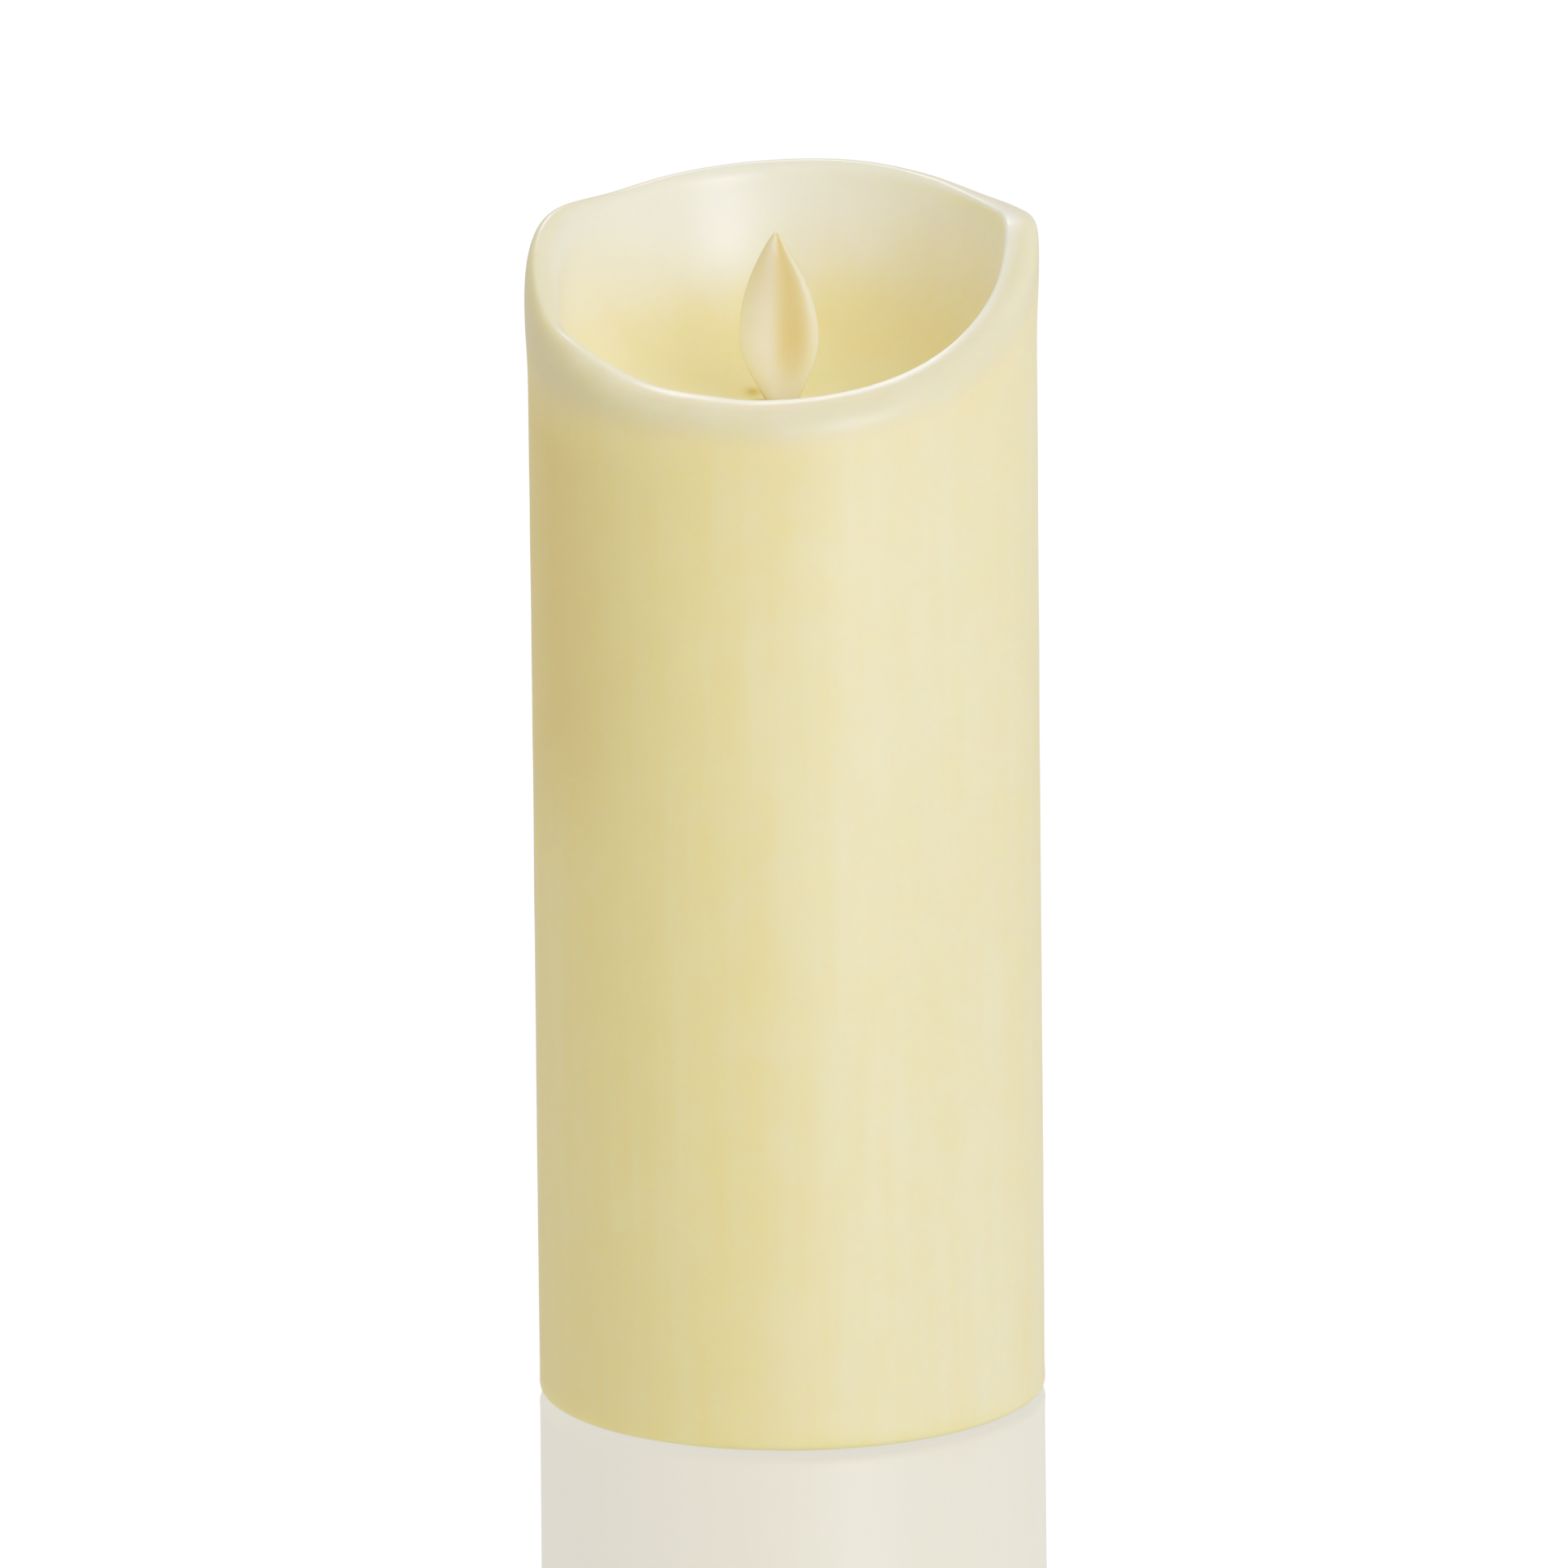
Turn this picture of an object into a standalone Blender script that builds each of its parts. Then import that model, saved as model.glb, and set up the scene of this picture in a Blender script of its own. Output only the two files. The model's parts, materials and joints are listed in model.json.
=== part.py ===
"""A flameless LED pillar candle: wax shell, swinging flame, magnetic flame engine, core tube and battery base.

Design lengths are in millimetres and become metres in the modelling functions. +Z is up and -Y is the front.
The origin is on the surface the candle stands on, at the centre of its base. Heights are above that surface.
"""

import math

import bmesh
import bpy
from mathutils import Vector

MM = 0.001
WELD = 1e-6
SMOOTH_BELOW = math.radians(35)
GAP = 0.3

# Wax shell
TOP_RADIUS = 40.5
FOOT_RADIUS = 39.9
RIM_TOP = 190.0
SHELL_BOTTOM = 0.3
SHELL_SIDES = 48
BORE_RADIUS = 35.0
BOWL_RADIUS = 35.0
BOWL_FLAT = 17.0
FLOOR_TOP = 160.0
FLOOR_UNDER = 156.0
LIP_HEIGHT = 5.0
SHELL_FOOT_ROUND = 1.2
RIM_RIGID_FROM = 184.0
RIM_HEIGHTS = (
    (0, 188.2), (8, 189.0), (20, 188.6), (35, 188.7), (52, 189.6), (72, 190.4), (95, 190.0), (115, 189.1),
    (135, 187.9), (160, 188.3), (175, 185.9), (190, 180.4), (200, 176.8), (210, 175.0), (222, 172.8),
    (235, 171.0), (250, 170.3), (265, 169.9), (290, 171.2), (310, 173.9), (330, 178.6), (346, 183.4),
)
APERTURE_HALF = 2.8
APERTURE_RADIUS = 3.5

# Swinging flame
PIVOT_Z = 148.8
PIVOT_WIRE_RADIUS = 0.3
PIVOT_EYE_RADIUS = 0.7
FLAME_LEFT = (
    (-1.2, 126.2), (-1.2, 138.0), (-1.4, 145.5), (-2.4, 148.8), (-2.2, 153.0), (-2.4, 159.5), (-4.2, 163.3),
    (-6.2, 167.4), (-6.8, 171.3), (-6.3, 176.1), (-5.2, 180.2), (-3.4, 184.2), (-1.9, 186.7), (-0.8, 188.0),
)
FLAME_RIGHT = (
    (1.2, 126.2), (1.2, 138.0), (1.4, 145.5), (2.4, 148.8), (2.2, 153.0), (2.3, 159.5), (3.6, 163.3),
    (5.2, 167.0), (5.9, 171.3), (5.1, 176.2), (3.9, 180.1), (1.8, 184.0), (0.4, 186.5), (-0.8, 188.0),
)
FLAME_CAMBER = (0.15, 0.0, -0.3, -0.25, 0.2, 0.1, -0.25, -0.2, -0.1)
STEM_HALF_DEPTH = 1.25
LEAF_HALF_DEPTH = 0.55
LEAF_FROM = 157.0
LEAF_FULL = 167.0
FLAME_FOOT_RADIUS = 3.5
FLAME_FOOT = (124.9, 126.6)
MAGNET_RADIUS = 4.0
MAGNET = (121.1, 124.6)

# Flame engine
HOUSING_RADIUS = 16.0
HOUSING_WALL = 1.6
HOUSING_BOTTOM = 100.0
DECK_UNDER = 151.3
DECK_TOP = 153.3
DECK_RADIUS = 22.0
DECK_SCREW_Y = 19.0
DECK_SLOT = (8.0, 4.5)
RIB_FROM_Y = 8.0
BOBBIN = (103.5, 119.2)
BOBBIN_RADIUS = 9.0
BOBBIN_FLANGE = 1.3
COIL_RADIUS = 8.2
CORE_RADIUS = 2.9
LED_BASE = (0.0, -7.4, 135.6)
LED_TILT = math.radians(12)
LED_RADIUS = 2.5
LED_LENGTH = 8.6
ENGINE_BOARD = (102.0, 103.2)
SEAL = (153.6, 155.7)
SEAL_RADII = (9.5, 16.0)

# Core tube
TUBE_RADIUS = 32.9
TUBE_WALL = 1.4
TUBE_TOP = 151.0
TUBE_DECK = 2.0
BOSS_CENTRE = 29.0
BOSS_RADIUS = 3.2
BOSS_TOP = 16.0
BASE_SCREW_AZIMUTHS = (35, 145, 270)

# Base
BASE = (1.0, 4.0)
BASE_RADIUS = 34.7
BASE_RIM_WALL = 1.5
BASE_RIM_TOP = 12.0
FOOT_PLACES = ((13.6, 25.6), (-13.6, 25.6), (-13.6, -25.6), (13.6, -25.6))
FOOT_PAD_RADIUS = 3.4
FOOT_PAD_TOP = 1.5

# Battery bay: two C cells standing side by side
CELL_X = 13.9
CELL_Y = -5.0
CELL_RADIUS = 13.1
CELL_LENGTH = 50.0
NUB_RADIUS = 3.3
NUB_HEIGHT = 1.5
RIGHT_CELL_BOTTOM = 8.2
LEFT_CELL_BOTTOM = 3.5
POCKET_RADIUS = 13.5
BOX_RADIUS = 15.0
BOX = (4.3, 61.0)
BOX_CEILING = 59.2
CONTACT_UNDER = 58.5
CONTACT_THICKNESS = 0.4
LUG_SCREWS = ((-5.5, 12.9), (5.5, 12.9))

# Battery door
DOOR = (1.0, 2.6)
DOOR_RADIUS = 15.5
DOOR_RECESS_TOP = 2.9
HINGE_Y = -21.3
HINGE_Z = 1.6
HINGE_HALF = 8.0
BARREL_RADIUS = 0.8
PIN_RADIUS = 0.5
BRIDGE = (2.9, 3.2)

# Main board and switch
BOARD = (9.5, 10.7)
BOARD_X = 13.0
BOARD_Y = (12.5, 27.5)
BOARD_SCREWS = ((-10.8, 16.0), (10.8, 16.0))
SWITCH_Y = 22.0
SWITCH_HALF = (4.4, 1.9)
SWITCH_BODY = (5.3, 9.2)
SWITCH_TRAVEL = 2.0

FINISHES = {
    "ivory_wax": ((0.85, 0.74, 0.50), 0.42, 0.0),
    "flame_plastic": ((0.86, 0.75, 0.48), 0.35, 0.0),
    "nickel": ((0.72, 0.72, 0.70), 0.22, 1.0),
    "steel": ((0.55, 0.55, 0.56), 0.35, 1.0),
    "zinc": ((0.62, 0.62, 0.58), 0.38, 1.0),
    "copper_wire": ((0.62, 0.26, 0.11), 0.35, 1.0),
    "black_plastic": ((0.03, 0.03, 0.03), 0.45, 0.0),
    "white_plastic": ((0.80, 0.79, 0.75), 0.40, 0.0),
    "ivory_plastic": ((0.82, 0.76, 0.62), 0.45, 0.0),
    "circuit_board": ((0.04, 0.22, 0.09), 0.40, 0.0),
    "led_epoxy": ((0.90, 0.86, 0.62), 0.12, 0.0),
    "foam": ((0.09, 0.09, 0.09), 0.95, 0.0),
    "rubber": ((0.70, 0.69, 0.66), 0.80, 0.0),
    "cell_jacket": ((0.05, 0.09, 0.16), 0.30, 0.2),
    "capacitor_sleeve": ((0.04, 0.05, 0.12), 0.35, 0.0),
    "red_lead": ((0.55, 0.03, 0.02), 0.40, 0.0),
    "black_lead": ((0.02, 0.02, 0.02), 0.40, 0.0),
    "white_lead": ((0.78, 0.78, 0.75), 0.40, 0.0),
}

for old in list(bpy.data.objects):
    bpy.data.objects.remove(old)


def new_collection(name):
    made = bpy.data.collections.new(name)
    bpy.context.scene.collection.children.link(made)
    return made


PARTS = new_collection("flameless_led_candle")
TOOLS = new_collection("cutters_and_joiners")


def material(finish):
    """The Principled material of a finish, made once."""
    made = bpy.data.materials.get(finish)
    if made:
        return made
    colour, roughness, metallic = FINISHES[finish]
    made = bpy.data.materials.new(finish)
    made.use_nodes = True
    shader = made.node_tree.nodes["Principled BSDF"]
    shader.inputs["Base Color"].default_value = (*colour, 1.0)
    shader.inputs["Roughness"].default_value = roughness
    shader.inputs["Metallic"].default_value = metallic
    return made


def new_object(name, data, finish):
    """A part if it has a finish, and otherwise a hidden tool that cuts or joins one."""
    made = bpy.data.objects.new(name, data)
    if finish:
        PARTS.objects.link(made)
        data.materials.clear()
        data.materials.append(material(finish))
    else:
        TOOLS.objects.link(made)
        made.hide_render = True
        made.display_type = "WIRE"
    return made


def smooth_round(mesh):
    mesh.shade_smooth()
    mesh.set_sharp_from_angle(angle=SMOOTH_BELOW)


def as_mesh(guide, finish):
    """Replaces a curve or a modified object by its evaluated mesh, with its loose points welded."""
    bpy.context.view_layer.update()
    graph = bpy.context.evaluated_depsgraph_get()
    mesh = bpy.data.meshes.new_from_object(guide.evaluated_get(graph))
    name, place = guide.name, guide.matrix_world.copy()
    bpy.data.objects.remove(guide)
    shape = bmesh.new()
    shape.from_mesh(mesh)
    bmesh.ops.remove_doubles(shape, verts=shape.verts, dist=WELD)
    shape.to_mesh(mesh)
    shape.free()
    smooth_round(mesh)
    made = new_object(name, mesh, finish)
    made.matrix_world = place
    return made


def primitive(name, finish, create, **sizes):
    """An object from one of bmesh's primitive operators."""
    mesh = bpy.data.meshes.new(name)
    shape = bmesh.new()
    create(shape, **sizes)
    shape.to_mesh(mesh)
    shape.free()
    smooth_round(mesh)
    return new_object(name, mesh, finish)


def block(name, low, high, finish=None, rounding=0.0):
    """A box between two corners, with rounded edges if asked."""
    low, high = Vector(low) * MM, Vector(high) * MM
    made = primitive(name, finish, bmesh.ops.create_cube, size=1.0)
    for point in made.data.vertices:
        point.co *= high - low
    made.location = (low + high) / 2
    if rounding:
        edge = made.modifiers.new("rounding", "BEVEL")
        edge.width = rounding * MM
        edge.segments = 2
    return made


def rod(name, radius, start, end, finish=None, sides=24):
    """A round bar from one point to another."""
    start, end = Vector(start) * MM, Vector(end) * MM
    along = end - start
    made = primitive(
        name, finish, bmesh.ops.create_cone,
        cap_ends=True, segments=sides, radius1=radius * MM, radius2=radius * MM, depth=along.length,
    )
    made.location = (start + end) / 2
    made.rotation_euler = along.to_track_quat("Z", "Y").to_euler()
    return made


def arc(centre, radii, start, end, steps):
    """Points along a quarter of an ellipse, angles in degrees."""
    angles = [math.radians(start + (end - start) * step / steps) for step in range(steps + 1)]
    return [(centre[0] + radii[0] * math.cos(a), centre[1] + radii[1] * math.sin(a)) for a in angles]


def turned(name, profile, finish=None, sides=32, centre=(0.0, 0.0, 0.0)):
    """A turned solid. Its profile of (radius, height) runs down the outer side, and a profile off the axis is a ring."""
    points = [(radius * MM, 0.0, height * MM) for radius, height in profile]
    edges = [(i, i + 1) for i in range(len(points) - 1)]
    if profile[0][0] > 0:
        edges.append((len(points) - 1, 0))
    mesh = bpy.data.meshes.new(name)
    mesh.from_pydata(points, edges, [])
    guide = new_object(name, mesh, None)
    screw = guide.modifiers.new("turn", "SCREW")
    screw.steps = screw.render_steps = sides
    screw.use_merge_vertices = True
    screw.merge_threshold = WELD
    guide.location = Vector(centre) * MM
    return as_mesh(guide, finish)


def smooth_loop(points, steps, closed):
    """Points on a smooth curve through the given points."""
    count = len(points)
    knots = [Vector(p) for p in points]
    spans = count if closed else count - 1
    found = []
    for i in range(spans):
        if closed:
            a, b, c, d = (knots[(i + k) % count] for k in (-1, 0, 1, 2))
        else:
            a, b, c, d = (knots[min(max(i + k, 0), count - 1)] for k in (-1, 0, 1, 2))
        for step in range(steps):
            t = step / steps
            found.append(
                b + (c - a) * t / 2 + (a * 2 - b * 5 + c * 4 - d) * t * t / 2 + (b * 3 - a - c * 3 + d) * t**3 / 2
            )
    if not closed:
        found.append(knots[-1])
    return found


def poly_spline(curve, points, closed):
    spline = curve.splines.new("POLY")
    spline.points.add(len(points) - 1)
    for target, point in zip(spline.points, points):
        target.co = (*(Vector(point).to_3d() * MM), 1.0)
    spline.use_cyclic_u = closed


def wire(name, points, radius, finish=None, resolution=2):
    """A round wire along a line of points."""
    curve = bpy.data.curves.new(name, "CURVE")
    curve.dimensions = "3D"
    curve.bevel_depth = radius * MM
    curve.bevel_resolution = resolution
    curve.use_fill_caps = True
    poly_spline(curve, points, closed=False)
    return as_mesh(new_object(name, curve, None), finish)


def plate(name, outlines, low, high, finish=None):
    """A flat plate between two heights, with the given outer outline and holes."""
    curve = bpy.data.curves.new(name, "CURVE")
    curve.dimensions = "2D"
    curve.fill_mode = "BOTH"
    curve.extrude = (high - low) / 2 * MM
    for outline in outlines:
        poly_spline(curve, outline, closed=True)
    guide = new_object(name, curve, None)
    guide.location.z = (low + high) / 2 * MM
    return as_mesh(guide, finish)


def stadium(centre, half, radius, steps=10):
    """A long round-ended outline along X."""
    right = arc((centre[0] + half, centre[1]), (radius, radius), -90, 90, steps)
    left = arc((centre[0] - half, centre[1]), (radius, radius), 90, 270, steps)
    return right + left


def combine(target, operation, *tools):
    for tool in tools:
        step = target.modifiers.new(tool.name, "BOOLEAN")
        step.operation = operation
        step.solver = "EXACT"
        step.object = tool
    return target


def cut(target, *tools):
    return combine(target, "DIFFERENCE", *tools)


def join(target, *tools):
    return combine(target, "UNION", *tools)


def polar(radius, azimuth):
    angle = math.radians(azimuth)
    return radius * math.cos(angle), radius * math.sin(angle)


def rim_height(azimuth):
    """Height of the rim's crest at an azimuth, on a smooth curve through the chosen heights."""
    azimuth %= 360
    knots = [(angle + lap, height) for lap in (-360, 0, 360) for angle, height in RIM_HEIGHTS]
    after = next(i for i, (angle, _) in enumerate(knots) if angle > azimuth)
    (a0, h0), (a1, h1), (a2, h2), (a3, h3) = knots[after - 2:after + 2]
    width = a2 - a1
    t = (azimuth - a1) / width
    leaving = (h2 - h0) / (a2 - a0) * width
    arriving = (h3 - h1) / (a3 - a1) * width
    ease = t * t * (3 - 2 * t)
    return h1 + (h2 - h1) * ease + leaving * t * (1 - t) ** 2 - arriving * t * t * (1 - t)


def shell_profile():
    """From the bowl's centre out over the rim, down the outside and up the bore."""
    return [
        (0.0, FLOOR_TOP),
        (9.0, FLOOR_TOP),
        *arc((BOWL_FLAT, RIM_TOP), (BOWL_RADIUS - BOWL_FLAT, RIM_TOP - FLOOR_TOP), -90, 0, 8)[:-1],
        *arc((BOWL_RADIUS, RIM_TOP - LIP_HEIGHT), (TOP_RADIUS - BOWL_RADIUS, LIP_HEIGHT), 90, 0, 5),
        (TOP_RADIUS, FLOOR_TOP),
        *arc(
            (FOOT_RADIUS - SHELL_FOOT_ROUND, SHELL_BOTTOM + SHELL_FOOT_ROUND),
            (SHELL_FOOT_ROUND, SHELL_FOOT_ROUND), 0, -90, 2,
        ),
        (BORE_RADIUS, SHELL_BOTTOM),
        (BORE_RADIUS, FLOOR_UNDER),
        (0.0, FLOOR_UNDER),
    ]


def wax_shell():
    """The turned wax body, its rim drawn down to the rim heights and its floor opened for the flame."""
    shell = turned("wax_shell", shell_profile(), "ivory_wax", SHELL_SIDES)
    for point in shell.data.vertices:
        height = point.co.z / MM
        in_bowl = math.hypot(point.co.x, point.co.y) < (BOWL_RADIUS - 0.01) * MM
        rigid_from = RIM_TOP if in_bowl else RIM_RIGID_FROM
        share = min(max((height - FLOOR_TOP) / (rigid_from - FLOOR_TOP), 0.0), 1.0)
        azimuth = math.degrees(math.atan2(point.co.y, point.co.x))
        point.co.z += share * (rim_height(azimuth) - RIM_TOP) * MM
    opening = stadium((0.0, 0.0), APERTURE_HALF, APERTURE_RADIUS, 6)
    cut(shell, plate("flame_opening", [opening], FLOOR_UNDER - 2, FLOOR_TOP + 2))


def leaf_ring(left, right):
    """One level of the flame: round the front from the left edge to the right, then back round the rear."""
    middle, half = (left + right) / 2, (right - left) / 2
    share = min(max((middle.y - LEAF_FROM) / (LEAF_FULL - LEAF_FROM), 0.0), 1.0)
    half_depth = STEM_HALF_DEPTH + (LEAF_HALF_DEPTH - STEM_HALF_DEPTH) * share
    across = len(FLAME_CAMBER) - 1
    ring = []
    for side in (-1, 1):
        for step in range(across):
            place = step if side < 0 else across - step
            turn = math.pi * place / across
            point = middle - half * math.cos(turn)
            depth = side * half_depth * math.sin(turn) ** 0.6 + share * FLAME_CAMBER[place]
            ring.append(Vector((point.x, depth, point.y)))
    return ring


def leaf():
    """The cupped leaf, its neck and its stem, from the stem's foot to the tip."""
    edges = zip(smooth_loop(FLAME_LEFT, 2, closed=False), smooth_loop(FLAME_RIGHT, 2, closed=False))
    levels = [leaf_ring(left, right) for left, right in edges][:-1]
    shape = bmesh.new()
    rings = [[shape.verts.new(point * MM) for point in level] for level in levels]
    tip = shape.verts.new(Vector((FLAME_LEFT[-1][0], 0.0, FLAME_LEFT[-1][1])) * MM)
    count = len(rings[0])
    for lower, upper in zip(rings, rings[1:]):
        for i in range(count):
            after = (i + 1) % count
            shape.faces.new((lower[i], lower[after], upper[after], upper[i]))
    for i in range(count):
        shape.faces.new((rings[-1][i], rings[-1][(i + 1) % count], tip))
    shape.faces.new(rings[0][::-1])
    bmesh.ops.recalc_face_normals(shape, faces=shape.faces)
    mesh = bpy.data.meshes.new("flame_leaf")
    shape.to_mesh(mesh)
    shape.free()
    smooth_round(mesh)
    return new_object("flame_leaf", mesh, "flame_plastic")


def flame():
    """The leaf on its stem, with the wire eye through its neck, and the magnet under the stem's foot."""
    made = leaf()
    reach = 2 * STEM_HALF_DEPTH
    cut(made, rod("flame_eye", PIVOT_EYE_RADIUS, (0, -reach, PIVOT_Z), (0, reach, PIVOT_Z), sides=16))
    join(made, rod("flame_foot", FLAME_FOOT_RADIUS, (0, 0, FLAME_FOOT[0]), (0, 0, FLAME_FOOT[1]), sides=20))
    rod("flame_magnet", MAGNET_RADIUS, (0, 0, MAGNET[0]), (0, 0, MAGNET[1]), "nickel")
    span = RIB_FROM_Y + 2.5
    rod("pivot_wire", PIVOT_WIRE_RADIUS, (0, -span, PIVOT_Z), (0, span, PIVOT_Z), "steel", sides=12)


def screw(name, place, tip, seat, head_radius, shank_radius):
    """A pan-head screw with a cross recess, from the height of its tip to the seat under its head."""
    x, y = place
    toward_tip = 1 if tip > seat else -1
    length, crown = abs(tip - seat), 0.55 * head_radius
    steps = [
        (0.0, length), (0.6 * shank_radius, length), (shank_radius, length - 0.8), (shank_radius, 0.0),
        (head_radius, 0.0), (0.95 * head_radius, -0.5 * crown), (0.6 * head_radius, -crown), (0.0, -crown),
    ]
    profile = [(radius, seat + toward_tip * along) for radius, along in steps][::toward_tip]
    made = turned(name, profile, "zinc", 12, (x, y, 0.0))
    arm, thin = 0.6 * head_radius, 0.14 * head_radius
    low, high = sorted((seat - toward_tip * (crown + GAP), seat - toward_tip * 0.5 * crown))
    cut(
        made,
        block(f"{name}_recess_x", (x - arm, y - thin, low), (x + arm, y + thin, high)),
        block(f"{name}_recess_y", (x - thin, y - arm, low), (x + thin, y + arm, high)),
    )


def engine_housing(name, side):
    """One half of the round engine housing with its deck, on the side of Y that side gives."""
    inner = HOUSING_RADIUS - HOUSING_WALL
    profile = [
        (0.0, DECK_TOP), (DECK_RADIUS, DECK_TOP), (DECK_RADIUS, DECK_UNDER), (HOUSING_RADIUS, DECK_UNDER),
        (HOUSING_RADIUS, HOUSING_BOTTOM), (inner, HOUSING_BOTTOM), (inner, DECK_UNDER), (0.0, DECK_UNDER),
    ]
    half = turned(name, profile, "black_plastic", 32)
    rib = sorted((side * RIB_FROM_Y, side * (inner + 0.8)))
    join(half, block(f"{name}_rib", (-1.5, rib[0], PIVOT_Z - 2.2), (1.5, rib[1], DECK_UNDER + 0.7)))
    away = sorted((side * GAP / 2, -side * 30.0))
    slot_x, slot_y = DECK_SLOT
    end = side * (RIB_FROM_Y + 2.8)
    hole = (0, side * DECK_SCREW_Y)
    cut(
        half,
        block(f"{name}_other_half", (-30, away[0], 90), (30, away[1], 160)),
        block(f"{name}_slot", (-slot_x, -slot_y, DECK_UNDER - 1), (slot_x, slot_y, DECK_TOP + 1)),
        rod(f"{name}_wire_seat", 0.5, (0, side * (RIB_FROM_Y - 1), PIVOT_Z), (0, end, PIVOT_Z), sides=12),
        rod(f"{name}_screw_hole", 1.5, (*hole, DECK_UNDER - 1), (*hole, DECK_TOP + 1), sides=14),
    )
    tip = TUBE_TOP - TUBE_DECK - 2.5
    screw(name.replace("housing", "screw"), hole, tip, DECK_TOP + GAP, 2.3, 1.0)


def coil():
    low, high = BOBBIN
    hub = CORE_RADIUS + 1.3
    bobbin = [
        (BOBBIN_RADIUS, high), (BOBBIN_RADIUS, high - BOBBIN_FLANGE), (hub, high - BOBBIN_FLANGE),
        (hub, low + BOBBIN_FLANGE), (BOBBIN_RADIUS, low + BOBBIN_FLANGE), (BOBBIN_RADIUS, low),
        (CORE_RADIUS + GAP, low), (CORE_RADIUS + GAP, high),
    ]
    turned("coil_bobbin", bobbin, "white_plastic", 28)
    top, bottom, inside = high - BOBBIN_FLANGE - GAP, low + BOBBIN_FLANGE + GAP, hub + GAP
    winding = [(COIL_RADIUS, top), (COIL_RADIUS, bottom), (inside, bottom), (inside, top)]
    turned("drive_coil", winding, "copper_wire", 28)
    rod("coil_core", CORE_RADIUS, (0, 0, low + 0.1), (0, 0, high - 0.1), "steel")


def led():
    """A 5 mm LED that leans towards the flame, its two legs down to the engine board, and its holder."""
    dome = LED_LENGTH - LED_RADIUS
    profile = [
        *[(r, z) for r, z in arc((0.0, dome), (LED_RADIUS, LED_RADIUS), 90, 0, 4)],
        (LED_RADIUS, 1.0), (LED_RADIUS + 0.4, 1.0), (LED_RADIUS + 0.4, 0.0), (0.0, 0.0),
    ]
    profile[0] = (0.0, LED_LENGTH)
    body = turned("flame_led", profile, "led_epoxy", 16, LED_BASE)
    body.rotation_euler.x = -LED_TILT
    base = Vector(LED_BASE)
    for name, x in (("led_leg_left", -1.27), ("led_leg_right", 1.27)):
        route = [
            base + Vector((x, 0.3, 1.2)), base + Vector((x, -0.6, -1.8)), base + Vector((x, -2.6, -5.0)),
            base + Vector((x, -3.1, -9.0)), Vector((x, base.y - 3.1, ENGINE_BOARD[1] + GAP)),
        ]
        join(body, wire(name, smooth_loop(route, 3, closed=False), 0.28, resolution=1))
    along = Vector((0.0, math.sin(LED_TILT), math.cos(LED_TILT)))
    low, high = base + along * 1.4, base + along * 5.0
    holder = rod("led_holder", LED_RADIUS + 1.6, low, high, "white_plastic", 20)
    wall = -(HOUSING_RADIUS - HOUSING_WALL - 0.6)
    join(holder, block("led_holder_arm", (-1.6, wall, low.z + 0.8), (1.6, base.y - 1.5, high.z - 0.4)))
    cut(holder, rod("led_holder_bore", LED_RADIUS + GAP, low - along * 3, high + along * 3, sides=20))


def engine_board():
    low, high = ENGINE_BOARD
    radius = HOUSING_RADIUS - HOUSING_WALL - GAP
    turned("engine_board", [(0.0, high), (radius, high), (radius, low), (0.0, low)], "circuit_board", 28)
    under = low - GAP
    block("engine_connector", (-4.2, 3.4, under - 4.2), (4.2, 8.6, under), "white_plastic", 0.3)
    block("driver_transistor", (-9.0, -4.2, under - 1.5), (-4.5, -1.7, under), "black_plastic", 0.2)
    block("engine_resistor", (4.6, -4.0, under - 0.6), (7.8, -2.4, under), "black_plastic", 0.1)


def deck_seal():
    inside, outside = SEAL_RADII
    turned("deck_seal", [(outside, SEAL[1]), (outside, SEAL[0]), (inside, SEAL[0]), (inside, SEAL[1])], "foam", 28)


def core_tube():
    """The tube that carries the engine, with its top deck and three screw bosses at the foot."""
    bottom = BASE[1] + GAP
    inner = TUBE_RADIUS - TUBE_WALL
    opening = HOUSING_RADIUS + GAP
    profile = [
        (TUBE_RADIUS, TUBE_TOP), (TUBE_RADIUS, bottom), (inner, bottom), (inner, TUBE_TOP - TUBE_DECK),
        (opening, TUBE_TOP - TUBE_DECK), (opening, TUBE_TOP),
    ]
    tube = turned("core_tube", profile, "ivory_plastic", 32)
    for number, azimuth in enumerate(BASE_SCREW_AZIMUTHS, 1):
        x, y = polar(BOSS_CENTRE, azimuth)
        join(tube, rod(f"tube_boss_{number}", BOSS_RADIUS, (x, y, bottom + GAP), (x, y, BOSS_TOP), sides=16))
        cut(tube, rod(f"tube_boss_hole_{number}", 1.4, (x, y, bottom - 1), (x, y, BOSS_TOP - 1.5), sides=12))
    for side in (-1, 1):
        place = (0, side * DECK_SCREW_Y)
        hole = rod(f"tube_deck_hole_{side}", 1.4, (*place, TUBE_TOP - 4), (*place, TUBE_TOP + 1), sides=13)
        cut(tube, hole)


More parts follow.
